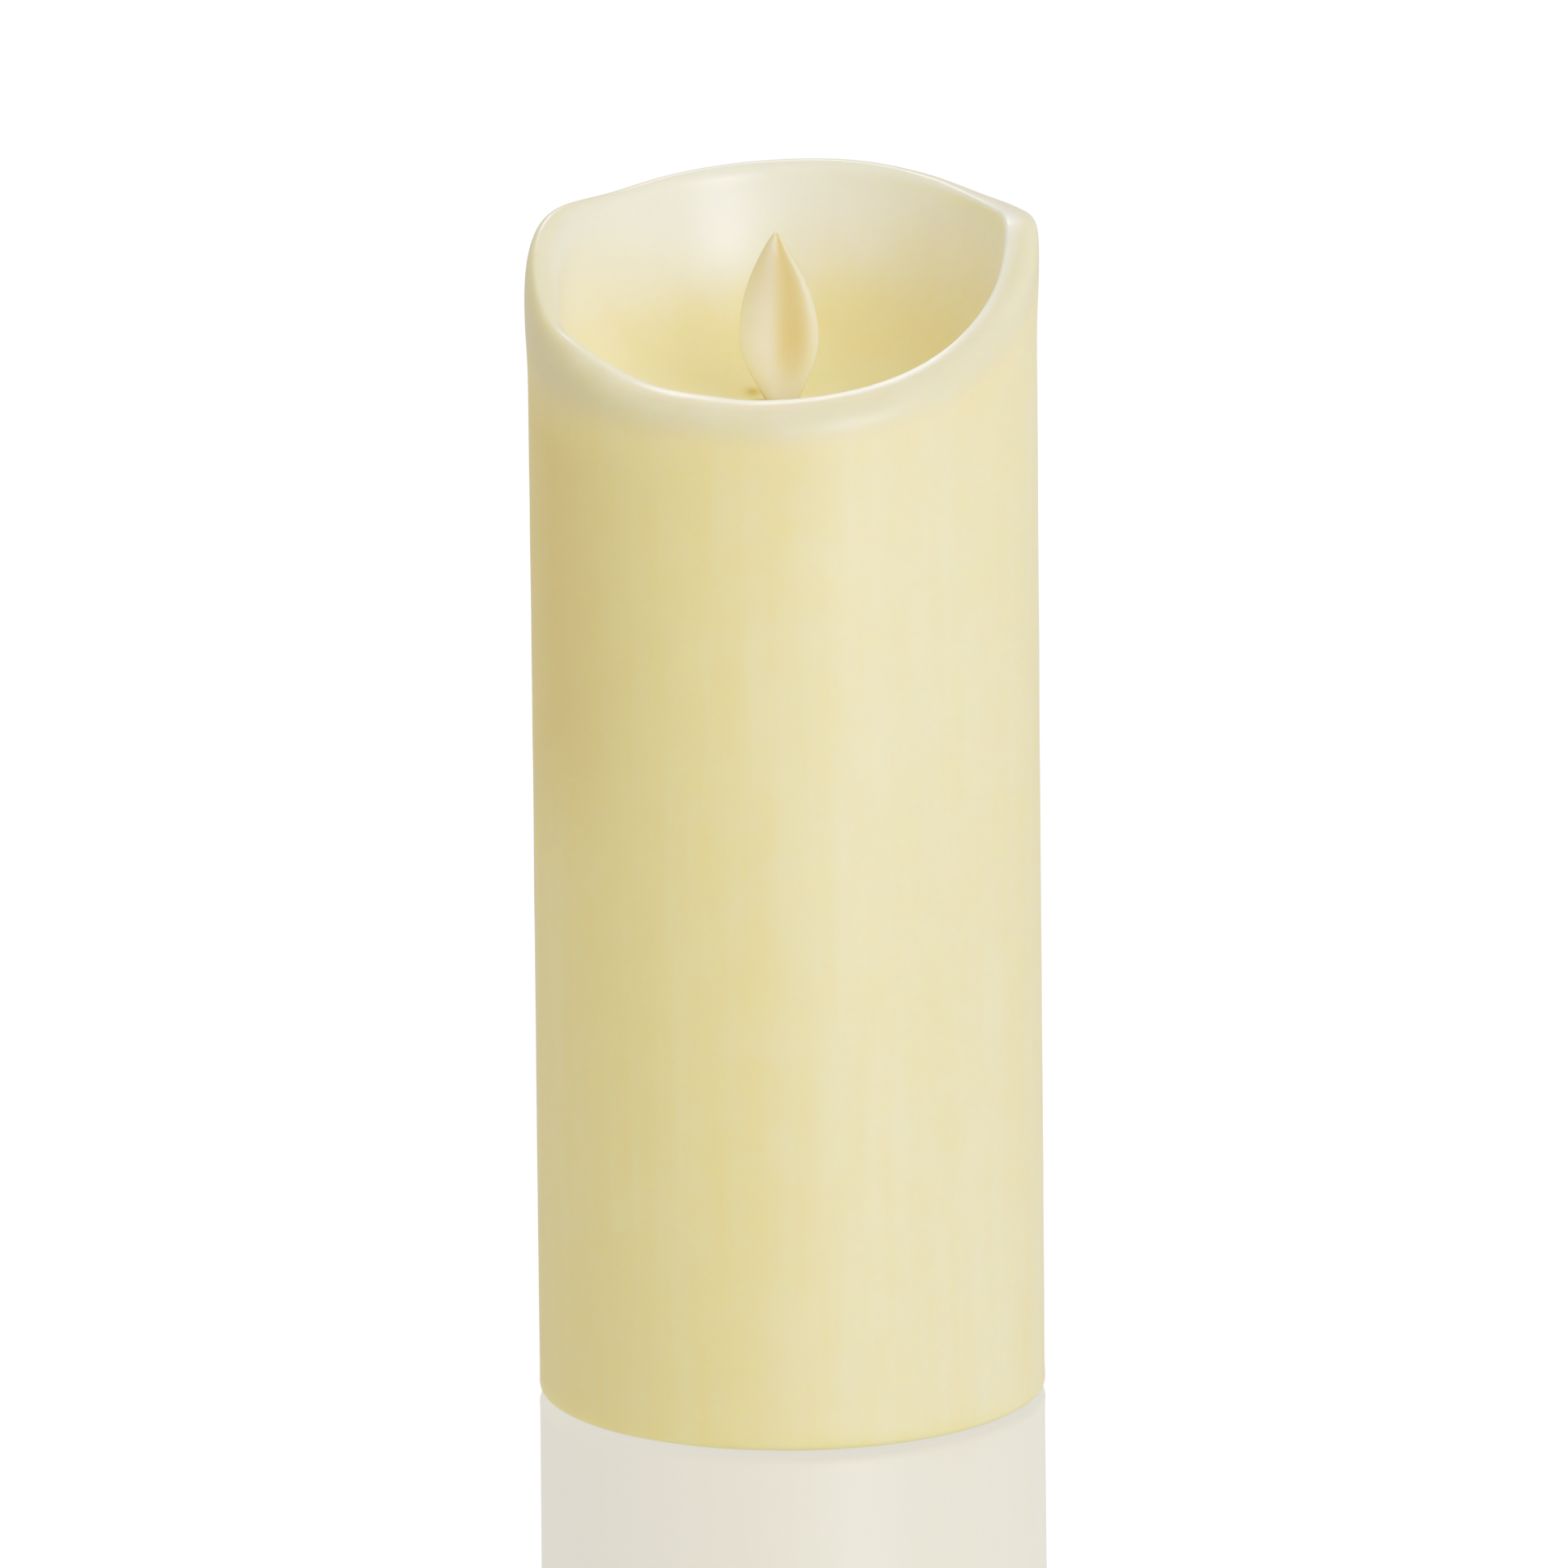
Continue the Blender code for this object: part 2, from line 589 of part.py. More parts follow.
def base_plate():
    """The round base with the battery opening, door recess, switch well, screw seats, foot seats and board posts."""
    low, high = BASE
    rim_inner = BASE_RADIUS - BASE_RIM_WALL
    profile = [
        (0.0, high), (rim_inner, high), (rim_inner, BASE_RIM_TOP), (BASE_RADIUS, BASE_RIM_TOP),
        (BASE_RADIUS, low), (0.0, low),
    ]
    base = turned("base_plate", profile, "ivory_plastic", 48)
    below, above = low - 1, high + 1
    bay = (0.0, CELL_Y)
    for number, (x, y) in enumerate(BOARD_SCREWS, 1):
        join(base, rod(f"board_post_{number}", 2.0, (x, y, low + 1), (x, y, BOARD[0] - GAP), sides=14))
        cut(base, rod(f"board_post_hole_{number}", 1.1, (x, y, low + 1.6), (x, y, BOARD[0] + 1), sides=12))
    cut(
        base,
        plate("door_recess", [stadium(bay, CELL_X, DOOR_RADIUS + GAP)], below, DOOR_RECESS_TOP),
        plate("battery_opening", [stadium(bay, CELL_X, POCKET_RADIUS + 0.1)], below, above),
        block("hinge_recess", (-HINGE_HALF - GAP, HINGE_Y - 1.1, below), (HINGE_HALF + GAP, -18, 2.75)),
        rod("hinge_seats", 0.65, (-10.2, HINGE_Y, HINGE_Z), (10.2, HINGE_Y, HINGE_Z), sides=12),
        block("latch_notch", (-3.8, 9.0, below), (3.8, 12.0, DOOR_RECESS_TOP)),
        block("switch_slot", (-4.5, SWITCH_Y - 2.0, below), (4.5, SWITCH_Y + 2.0, above)),
        plate("switch_well", [stadium((0.0, SWITCH_Y), 5.0, 3.6, 6)], below, low + 0.9),
    )
    for number, azimuth in enumerate(BASE_SCREW_AZIMUTHS, 1):
        x, y = polar(BOSS_CENTRE, azimuth)
        cut(base, rod(f"base_screw_seat_{number}", 3.1, (x, y, below), (x, y, low + 1.6), sides=18))
        cut(base, rod(f"base_screw_hole_{number}", 1.7, (x, y, below), (x, y, above), sides=14))
    for number, (x, y) in enumerate(FOOT_PLACES, 1):
        cut(base, rod(f"foot_seat_{number}", FOOT_PAD_RADIUS + GAP, (x, y, below), (x, y, FOOT_PAD_TOP + GAP), sides=18))
    for number, (x, y) in enumerate(LUG_SCREWS, 1):
        cut(base, rod(f"lug_hole_{number}", 1.1, (x, y, low + 0.9), (x, y, above), sides=12))


def base_fasteners():
    for number, azimuth in enumerate(BASE_SCREW_AZIMUTHS, 1):
        screw(f"base_screw_{number}", polar(BOSS_CENTRE, azimuth), BOSS_TOP - 4, BASE[0] + 1.6 - GAP, 2.5, 1.1)
    for side, place in zip(("left", "right"), LUG_SCREWS):
        screw(f"box_screw_{side}", place, BASE[0] + 1.2, BOX[0] + 2.0 + GAP, 1.9, 0.8)
    for side, place in zip(("left", "right"), BOARD_SCREWS):
        screw(f"board_screw_{side}", place, BOARD[0] - 4.5, BOARD[1] + GAP, 1.9, 0.8)


def feet():
    for number, (x, y) in enumerate(FOOT_PLACES, 1):
        profile = [(0.0, FOOT_PAD_TOP), (3.4, FOOT_PAD_TOP), (3.4, 0.4), (3.0, 0.0), (0.0, 0.0)]
        turned(f"foot_{number}", profile, "rubber", 18, (x, y, 0.0))


def cell(name, x, bottom, nub_up):
    """A C cell with its nub, standing either way up."""
    body = CELL_LENGTH - NUB_HEIGHT
    profile = [
        (0.0, CELL_LENGTH), (NUB_RADIUS - 0.4, CELL_LENGTH), (NUB_RADIUS, CELL_LENGTH - 0.4), (NUB_RADIUS, body),
        (CELL_RADIUS - 0.9, body), (CELL_RADIUS, body - 0.7), (CELL_RADIUS, 0.7), (CELL_RADIUS - 0.9, 0.0), (0.0, 0.0),
    ]
    made = turned(name, profile, "cell_jacket", 26, (x, CELL_Y, bottom))
    if not nub_up:
        made.rotation_euler.x = math.pi
        made.location.z = (bottom + CELL_LENGTH) * MM


def coil_spring(name, x, low, high, wide, narrow, turns, wide_end_down=True):
    """A conical contact spring whose wire runs from one height to the other."""
    steps = 8 * turns
    radius = 0.4
    points = []
    for step in range(steps + 1):
        share = step / steps
        wideness = share if not wide_end_down else 1 - share
        reach = narrow + (wide - narrow) * wideness
        angle = math.tau * turns * share
        height = low + radius + (high - low - 2 * radius) * share
        points.append((x + reach * math.cos(angle), CELL_Y + reach * math.sin(angle), height))
    wire(name, points, radius, "nickel")


def battery_box():
    """The two-cell box with its lugs, and the fixed contacts and spring under its ceiling."""
    low, high = BOX
    box = plate("battery_box", [stadium((0.0, CELL_Y), CELL_X, BOX_RADIUS, 12)], low, high, "black_plastic")
    for number, (x, y) in enumerate(LUG_SCREWS, 1):
        join(box, block(f"box_lug_{number}", (x - 2.5, 8.8, low), (x + 2.5, y + 2.4, low + 2.0)))
        cut(box, rod(f"box_lug_hole_{number}", 1.1, (x, y, low - 1), (x, y, low + 3), sides=12))
    for side in (-1, 1):
        x = side * CELL_X
        cut(
            box,
            rod(f"pocket_{side}", POCKET_RADIUS, (x, CELL_Y, low - 1), (x, CELL_Y, BOX_CEILING), sides=36),
            block(f"tab_slot_{side}", (x - 2.0, CELL_Y - 0.7, BOX_CEILING - 1), (x + 2.0, CELL_Y + 0.7, high + 1)),
        )
    for name, side in (("negative_contact", -1), ("positive_contact", 1)):
        x = side * CELL_X
        top = CONTACT_UNDER + CONTACT_THICKNESS
        contact = block(name, (x - 6, CELL_Y - 6, CONTACT_UNDER), (x + 6, CELL_Y + 6, top), "nickel")
        join(contact, block(f"{name}_tab", (x - 1.5, CELL_Y - 0.2, top - 0.2), (x + 1.5, CELL_Y + 0.2, high + 3)))
    left_top = LEFT_CELL_BOTTOM + CELL_LENGTH
    coil_spring("cell_spring", -CELL_X, left_top + GAP, CONTACT_UNDER - GAP, 5.5, 3.2, 3, wide_end_down=False)


def battery_door():
    """The door plate with its hinge lobe, pins and latch tongue, and the bridging contact and spring on it."""
    low, high = DOOR
    door = plate("battery_door", [stadium((0.0, CELL_Y), CELL_X, DOOR_RADIUS, 12)], low, high, "ivory_plastic")
    axis = (HINGE_Y, HINGE_Z)
    half = HINGE_HALF
    join(
        door,
        block("hinge_lobe", (-half, HINGE_Y, HINGE_Z - 0.6), (half, -19.0, HINGE_Z + 0.78)),
        rod("hinge_barrel", BARREL_RADIUS, (-half, *axis), (half, *axis), sides=16),
        rod("hinge_pins", PIN_RADIUS, (-half - 1.6, *axis), (half + 1.6, *axis), sides=12),
        block("latch_tongue", (-3.0, 9.0, low), (3.0, 11.6, high - 0.4)),
    )
    cut(
        door,
        block("tongue_slot_left", (-4.0, 4.5, low - 1), (-3.2, 9.8, high + 1)),
        block("tongue_slot_right", (3.2, 4.5, low - 1), (4.0, 9.8, high + 1)),
        plate("finger_dip", [stadium((0.0, 6.2), 1.2, 1.6, 6)], low - 1, low + 0.6),
    )
    bridge = stadium((0.0, CELL_Y), CELL_X - 0.9, 6.0, 6)
    plate("bridge_contact", [bridge], *BRIDGE, "nickel")
    coil_spring("door_spring", CELL_X, BRIDGE[1] + GAP, RIGHT_CELL_BOTTOM - GAP, 5.5, 3.2, 3)


def main_board():
    """The timer board over the switch, with what is soldered to it."""
    low, high = BOARD
    board = block("main_board", (-BOARD_X, BOARD_Y[0], low), (BOARD_X, BOARD_Y[1], high), "circuit_board")
    for number, (x, y) in enumerate(BOARD_SCREWS, 1):
        cut(board, rod(f"board_hole_{number}", 1.1, (x, y, low - 1), (x, y, high + 1), sides=12))
    top = high + GAP
    chip = block("timer_chip", (-9.0, 20.5, top), (-3.8, 24.5, top + 1.6), "black_plastic", 0.15)
    for number in range(4):
        x = -8.3 + 1.27 * number
        join(chip, block(f"chip_legs_{number}", (x - 0.2, 19.4, top), (x + 0.2, 25.6, top + 0.5)))
    rod("timer_crystal", 1.3, (-1.6, 20.4, top + 1.3), (4.4, 20.4, top + 1.3), "nickel", 18)
    can = [(0.0, 7.0), (2.4, 7.0), (2.6, 6.6), (2.6, 0.4), (2.4, 0.0), (0.0, 0.0)]
    turned("filter_capacitor", can, "capacitor_sleeve", 22, (9.4, 22.6, top))
    for number, x in enumerate((-2.6, 1.6), 1):
        block(f"board_resistor_{number}", (x, 16.2, top), (x + 2.0, 17.5, top + 0.6), "black_plastic", 0.1)


def slide_switch():
    """The three-position switch under the board and the knob that comes through the base."""
    half_x, half_y = SWITCH_HALF
    low, high = SWITCH_BODY
    body = block(
        "slide_switch", (-half_x, SWITCH_Y - half_y, low), (half_x, SWITCH_Y + half_y, high), "steel", 0.25
    )
    slot_half = 1.0 + SWITCH_TRAVEL + GAP
    cut(body, block("switch_track", (-slot_half, SWITCH_Y - 1.2, low - 1), (slot_half, SWITCH_Y + 1.2, low + 2.2)))
    knob = block("switch_knob", (-1.9, SWITCH_Y - 1.6, 1.2), (1.9, SWITCH_Y + 1.6, 4.6), "black_plastic", 0.25)
    join(knob, block("knob_stem", (-1.0, SWITCH_Y - 0.8, 4.0), (1.0, SWITCH_Y + 0.8, low + 1.8)))
    ridges = [
        block(f"knob_ridge_{n}", (x - 0.25, SWITCH_Y - 2.0, 1.0), (x + 0.25, SWITCH_Y + 2.0, 1.5))
        for n, x in enumerate((-0.9, 0.0, 0.9))
    ]
    cut(knob, *ridges)


def leads():
    """The battery leads over the box to the board, and the three harness wires up to the engine."""
    top = BOX[1] + 3 + GAP
    landing = BOARD[1] + GAP
    for name, side, finish in (("battery_lead_red", 1, "red_lead"), ("battery_lead_black", -1, "black_lead")):
        route = [
            (side * CELL_X, CELL_Y, top + 0.6), (side * CELL_X, CELL_Y + 3, top + 4), (side * 13.5, 4, top + 4.5),
            (side * 11.5, 12.5, top - 3), (side * 9, 15, 45), (side * 7.5, 15.4, 28), (side * 6.4, 15, landing + 6),
            (side * 6.4, 15, landing),
        ]
        wire(name, smooth_loop(route, 2, closed=False), 0.6, finish)
    plug = ENGINE_BOARD[0] - 2 * GAP - 4.2
    for number, (name, finish) in enumerate(
        (("harness_wire_red", "red_lead"), ("harness_wire_black", "black_lead"), ("harness_wire_white", "white_lead"))
    ):
        x = 2.2 * (number - 1)
        route = [
            (x, 6, plug), (x, 6, plug - 5), (x, 9, plug - 16), (x, 15, 68), (x, 20, 48), (x, 23.5, 30),
            (x, 25.3, landing + 6), (x, 25.3, landing),
        ]
        wire(name, smooth_loop(route, 2, closed=False), 0.6, finish)


def candle():
    wax_shell()
    flame()
    engine_housing("engine_housing_front", -1)
    engine_housing("engine_housing_rear", 1)
    coil()
    led()
    engine_board()
    deck_seal()
    core_tube()
    base_plate()
    base_fasteners()
    feet()
    cell("battery_cell_left", -CELL_X, LEFT_CELL_BOTTOM, nub_up=False)
    cell("battery_cell_right", CELL_X, RIGHT_CELL_BOTTOM, nub_up=True)
    battery_box()
    battery_door()
    main_board()
    slide_switch()
    leads()


candle()
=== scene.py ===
import json
import math

import bmesh
import bpy
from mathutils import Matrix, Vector, noise


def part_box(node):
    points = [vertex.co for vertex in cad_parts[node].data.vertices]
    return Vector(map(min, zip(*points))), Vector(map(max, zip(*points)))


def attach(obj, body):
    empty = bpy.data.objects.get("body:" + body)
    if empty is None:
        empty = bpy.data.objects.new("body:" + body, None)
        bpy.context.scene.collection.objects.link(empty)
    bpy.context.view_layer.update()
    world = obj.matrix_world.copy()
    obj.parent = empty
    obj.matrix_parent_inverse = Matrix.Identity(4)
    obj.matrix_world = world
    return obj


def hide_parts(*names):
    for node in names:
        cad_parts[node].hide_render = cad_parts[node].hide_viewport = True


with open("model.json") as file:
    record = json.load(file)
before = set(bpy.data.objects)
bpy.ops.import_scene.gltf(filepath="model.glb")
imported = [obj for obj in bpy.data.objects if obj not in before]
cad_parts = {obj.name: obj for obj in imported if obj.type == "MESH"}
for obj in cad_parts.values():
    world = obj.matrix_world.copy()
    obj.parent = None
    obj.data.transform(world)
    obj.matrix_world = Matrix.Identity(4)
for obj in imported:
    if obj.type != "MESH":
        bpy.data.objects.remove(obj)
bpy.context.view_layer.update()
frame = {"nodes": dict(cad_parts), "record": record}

MM = 0.001

# The wax shell, in millimetres. Azimuths are in degrees from +X, and -Y is the front.
RIM_HEIGHTS = (
    (0, 188.2), (8, 189.0), (20, 188.6), (35, 188.7), (52, 189.6), (72, 190.4), (95, 190.0), (115, 189.1),
    (135, 187.9), (160, 188.3), (175, 185.9), (190, 180.4), (200, 176.8), (210, 175.0), (222, 172.8),
    (235, 171.0), (250, 170.3), (265, 169.9), (290, 171.2), (310, 173.9), (330, 178.6), (346, 183.4),
)
SHELL_LOW, SHELL_HIGH = (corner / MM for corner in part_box("wax_shell"))
TOP_RADIUS = SHELL_HIGH.x - 0.05
FOOT_RADIUS = TOP_RADIUS - 0.6
BODY_RADIUS = TOP_RADIUS - 0.45
BORE_RADIUS = 35.0
CREST_RADIUS = 35.0
BOWL_FLAT = 17.0
BOWL_POWER = 2.25
FLOOR_TOP = 160.0
FLOOR_UNDER = 156.0
LIP_DROP = 5.0
LIP_SWELL = 0.45
LIP_SWELL_REACH = 7.0
FOOT_ROUND = 1.2
WALL_ROWS = 80
APERTURE_HALF = 2.8
APERTURE_RADIUS = 3.5
APERTURE_ROUND = 0.6
# A painted shade spot on the bowl's floor behind the opening, standing in for the opening's dark depth: its
# centre and size in millimetres.
OPENING_SHADE_SPOT = (-4.7, 8.0)
OPENING_SHADE_SPOT_SIZE = (1.2, 2.8)
COLUMNS = 320

# The flame, in millimetres. Its left and right edges run from the foot of the stem to the tip.
FLAME_LEFT = (
    (-1.2, 126.2), (-1.2, 138.0), (-1.4, 145.5), (-2.4, 148.8), (-2.2, 153.0), (-2.4, 159.5), (-4.2, 163.3),
    (-6.2, 167.4), (-6.8, 171.3), (-6.3, 176.1), (-5.2, 180.2), (-3.4, 184.2), (-2.0, 186.7), (-1.15, 187.85),
)
FLAME_RIGHT = (
    (1.2, 126.2), (1.2, 138.0), (1.4, 145.5), (2.4, 148.8), (2.2, 153.0), (2.3, 159.5), (3.6, 163.3),
    (5.1, 167.0), (5.7, 171.3), (5.0, 176.2), (3.8, 180.1), (1.8, 184.0), (0.3, 186.6), (-0.45, 187.85),
)
FLAME_TIP = (-0.8, 188.0)
EYE_Z = 148.8
EYE_RADIUS = 0.7
FLAME_FOOT = (
    (0.0, 126.6), (3.1, 126.6), (3.4, 126.5), (3.5, 126.2), (3.5, 125.3), (3.4, 125.0), (3.1, 124.9),
    (0.0, 124.9),
)
# How far the leaf's middle surface stands towards the rear, from its left edge (-1) to its right (1)
CAMBER = (
    (-1.0, 0.12), (-0.85, -0.1), (-0.6, -0.24), (-0.3, -0.12), (0.0, 0.08), (0.25, 0.16), (0.5, 0.0),
    (0.75, -0.16), (0.87, -0.16), (1.0, -0.05),
)
FLAME_ROWS = 10
FLAME_COLUMNS = 24
STEM_HALF_DEPTH = 1.25
LEAF_HALF_DEPTH = 0.55
LEAF_FROM = 157.0
LEAF_FULL = 167.0
LEAF_HALF_WIDTH = 6.3

# The picture's tone curve: points of scene value and shown value, and the scene value that shows as white
RESPONSE = ((0.28, 0.28), (0.5, 0.55), (0.8, 0.77), (0.9, 0.82))
WHITE_LEVEL = 1.3

# Light, as the radiance that reaches the candle from each side
SKY_FILL = 0.50
SKY_TOP = 0.80
SKY_BACK = 0.25
FLOOR_FILL = 0.68


def clamped(value):
    return min(max(value, 0.0), 1.0)


def eased(value, low, high):
    share = clamped((value - low) / (high - low))
    return share * share * (3 - 2 * share)


def near(azimuth, centre, width):
    """1 at the centre azimuth, fading to 0 on both sides."""
    away = (azimuth - centre + 180) % 360 - 180
    return math.exp(-((away / width) ** 2))


class Graph:
    """The nodes of one material, with short ways to add and link them."""

    def __init__(self, tree):
        self.tree = tree
        tree.nodes.clear()

    def add(self, kind, inputs=(), **settings):
        made = self.tree.nodes.new(kind)
        for name, value in settings.items():
            setattr(made, name, value)
        for name, value in dict(inputs).items():
            self.put(made.inputs[name], value)
        return made

    def put(self, socket, value):
        if isinstance(value, bpy.types.NodeSocket):
            self.tree.links.new(value, socket)
        elif isinstance(value, tuple) and socket.type == "RGBA":
            socket.default_value = (*value, 1.0)
        else:
            socket.default_value = value

    def place(self, stretch=(1.0, 1.0, 1.0)):
        """Object coordinates in millimetres, stretched along an axis where its factor is under 1."""
        where = self.add("ShaderNodeTexCoord").outputs["Object"]
        scale = tuple(factor / MM for factor in stretch)
        return self.add("ShaderNodeMapping", {"Vector": where, "Scale": scale}).outputs["Vector"]

    def noise(self, size, detail=3.0, stretch=(1.0, 1.0, 1.0), roughness=0.5):
        """Smooth noise from 0 to 1 whose features are about size millimetres."""
        inputs = {
            "Vector": self.place(stretch), "Scale": 1.0 / size, "Detail": detail, "Roughness": roughness,
        }
        return self.add("ShaderNodeTexNoise", inputs).outputs["Fac"]

    def span(self, value, low, high, out_low=0.0, out_high=1.0):
        inputs = {"Value": value, "From Min": low, "From Max": high, "To Min": out_low, "To Max": out_high}
        return self.add("ShaderNodeMapRange", inputs).outputs["Result"]

    def mix(self, share, first, second, blend="MIX"):
        made = self.add("ShaderNodeMix", data_type="RGBA", blend_type=blend)
        colours = [socket for socket in made.inputs if socket.type == "RGBA"]
        self.put(made.inputs[0], share)
        self.put(colours[0], first)
        self.put(colours[1], second)
        return next(socket for socket in made.outputs if socket.type == "RGBA")

    def maths(self, operation, first, second):
        made = self.add("ShaderNodeMath", operation=operation)
        self.put(made.inputs[0], first)
        self.put(made.inputs[1], second)
        return made.outputs[0]

    def attribute(self, name):
        return self.add("ShaderNodeAttribute", attribute_name=name).outputs["Fac"]

    def bump(self, height, depth, strength=1.0, under=None):
        """A bump whose height runs from 0 to 1 over depth millimetres."""
        inputs = {"Height": height, "Distance": depth * MM, "Strength": strength}
        if under:
            inputs["Normal"] = under
        return self.add("ShaderNodeBump", inputs).outputs["Normal"]

    def surface(self, inputs):
        shader = self.add("ShaderNodeBsdfPrincipled", inputs)
        self.add("ShaderNodeOutputMaterial", {"Surface": shader.outputs["BSDF"]})


def new_material(name):
    made = bpy.data.materials.new(name)
    made.use_nodes = True
    return made, Graph(made.node_tree)


def wax():
    made, graph = new_material("ivory_wax_detail")
    broad = graph.noise(26.0, 2.0, (1.0, 1.0, 0.45))
    streaks = graph.noise(3.2, 3.0, (1.0, 1.0, 0.07))
    cloud = graph.noise(7.0, 4.0)
    body = graph.mix(graph.span(broad, 0.35, 0.65), (0.89, 0.765, 0.42), (0.91, 0.79, 0.455))
    body = graph.mix(graph.span(streaks, 0.35, 0.65, 0.0, 0.75), body, (0.90, 0.745, 0.375))
    body = graph.mix(graph.span(cloud, 0.4, 0.75, 0.0, 0.25), body, (0.92, 0.83, 0.54))
    # Painted light on the lip: a greyer tone standing in for light scattered through the thin wax, toned down
    # where the lip faces up.
    rim = graph.mix(graph.span(cloud, 0.3, 0.7), (0.73, 0.67, 0.445), (0.75, 0.69, 0.48))
    body = graph.mix(graph.attribute("rim"), body, rim)
    # Painted light: the bowl wall's paler tone stands in for light reaching the upper wall from above and
    # through the thin wax.
    inner_painted_light = graph.mix(graph.span(cloud, 0.3, 0.7), (0.865, 0.87, 0.765), (0.885, 0.89, 0.795))
    body = graph.mix(graph.attribute("inner_painted_light"), body, inner_painted_light)
    deep = graph.mix(graph.span(cloud, 0.3, 0.7), (0.92, 0.76, 0.42), (0.94, 0.78, 0.46))
    body = graph.mix(graph.attribute("deep"), body, deep)
    # Painted shade: a darker, yellower tone on the left side and left shoulder, away from the key light.
    body = graph.mix(graph.attribute("painted_left_shade"), body, (0.82, 0.66, 0.31))
    # Painted shade: a dark amber spot standing in for the opening's dark depth.
    body = graph.mix(graph.attribute("opening_shade"), body, (0.62, 0.46, 0.09))
    grain = graph.noise(0.6, 3.0)
    dimples = graph.noise(3.5, 2.0)
    ripples = graph.maths("MULTIPLY", graph.noise(2.4, 2.0, (0.15, 0.15, 1.0)), graph.attribute("inner_painted_light"))
    relief = graph.bump(dimples, 0.12, 0.5)
    relief = graph.bump(streaks, 0.12, 0.4, relief)
    relief = graph.bump(ripples, 0.10, 0.5, relief)
    relief = graph.bump(grain, 0.02, 0.35, relief)
    dull = graph.span(cloud, 0.3, 0.7, 0.42, 0.48)
    smoother = graph.maths("MAXIMUM", graph.attribute("inner_painted_light"), graph.attribute("crest"))
    graph.surface({
        "Base Color": body,
        "Roughness": graph.maths("SUBTRACT", dull, graph.maths("MULTIPLY", smoother, 0.09)),
        "Normal": relief,
        "Subsurface Weight": 0.85,
        "Subsurface Radius": (1.0, 0.72, 0.32),
        "Subsurface Scale": 4.0 * MM,
        "IOR": 1.44,
        "Specular IOR Level": 0.5,
    })
    return made


def flame_plastic():
    made, graph = new_material("flame_plastic_detail")
    cloud = graph.noise(4.0, 3.0)
    body = graph.mix(graph.span(cloud, 0.3, 0.7), (0.82, 0.77, 0.60), (0.84, 0.785, 0.61))
    body = graph.mix(graph.attribute("upper"), body, (0.71, 0.64, 0.44))
    # Painted shade: a golden tone across the leaf's right half, standing in for its shaded, cupped side.
    body = graph.mix(graph.attribute("groove_shade"), body, (0.72, 0.59, 0.32))
    grain = graph.noise(0.35, 2.0)
    graph.surface({
        "Base Color": body,
        "Roughness": graph.span(cloud, 0.3, 0.7, 0.38, 0.5),
        "Normal": graph.bump(grain, 0.01, 0.5),
        "Subsurface Weight": 0.7,
        "Subsurface Radius": (1.0, 0.7, 0.3),
        "Subsurface Scale": 1.5 * MM,
        "IOR": 1.49,
    })
    return made


def plastic(name, dark, light, roughness=0.42, grain=0.25, coat=0.0):
    """Moulded plastic: a fine texture, faint flow marks and uneven gloss."""
    made, graph = new_material(name)
    flow = graph.noise(9.0, 3.0, (1.0, 0.5, 1.0))
    fine = graph.noise(grain, 2.0)
    graph.surface({
        "Base Color": graph.mix(graph.span(flow, 0.3, 0.7), dark, light),
        "Roughness": graph.span(flow, 0.3, 0.7, roughness - 0.05, roughness + 0.07),
        "Normal": graph.bump(fine, 0.02, 0.5),
        "Coat Weight": coat,
    })
    return made


def metal(name, dark, light, roughness, stretch=(1.0, 1.0, 0.08), streak=0.35):
    """Drawn or plated metal, with fine drawing marks and dull patches."""
    made, graph = new_material(name)
    marks = graph.noise(streak, 3.0, stretch)
    patches = graph.noise(3.0, 4.0)
    graph.surface({
        "Base Color": graph.mix(graph.span(patches, 0.35, 0.7), dark, light),
        "Metallic": 1.0,
        "Roughness": graph.span(marks, 0.3, 0.7, roughness - 0.06, roughness + 0.1),
        "Normal": graph.bump(marks, 0.01, 0.4),
    })
    return made


def winding():
    """Enamelled copper wire wound in layers: fine rings round the bobbin."""
    made, graph = new_material("copper_wire_detail")
    rings = graph.add(
        "ShaderNodeTexWave", {"Vector": graph.place(), "Scale": 0.9, "Distortion": 0.4, "Detail": 1.0},
        wave_type="BANDS", bands_direction="Z",
    ).outputs["Fac"]
    patches = graph.noise(2.0, 3.0)
    colour = graph.mix(graph.span(patches, 0.3, 0.7), (0.52, 0.17, 0.06), (0.66, 0.26, 0.09))
    graph.surface({
        "Base Color": graph.mix(graph.span(rings, 0.0, 0.45), (0.16, 0.05, 0.02), colour),
        "Metallic": 0.9,
        "Roughness": graph.span(patches, 0.3, 0.7, 0.24, 0.38),
        "Normal": graph.bump(rings, 0.15, 0.9),
        "Coat Weight": 0.5,
    })
    return made


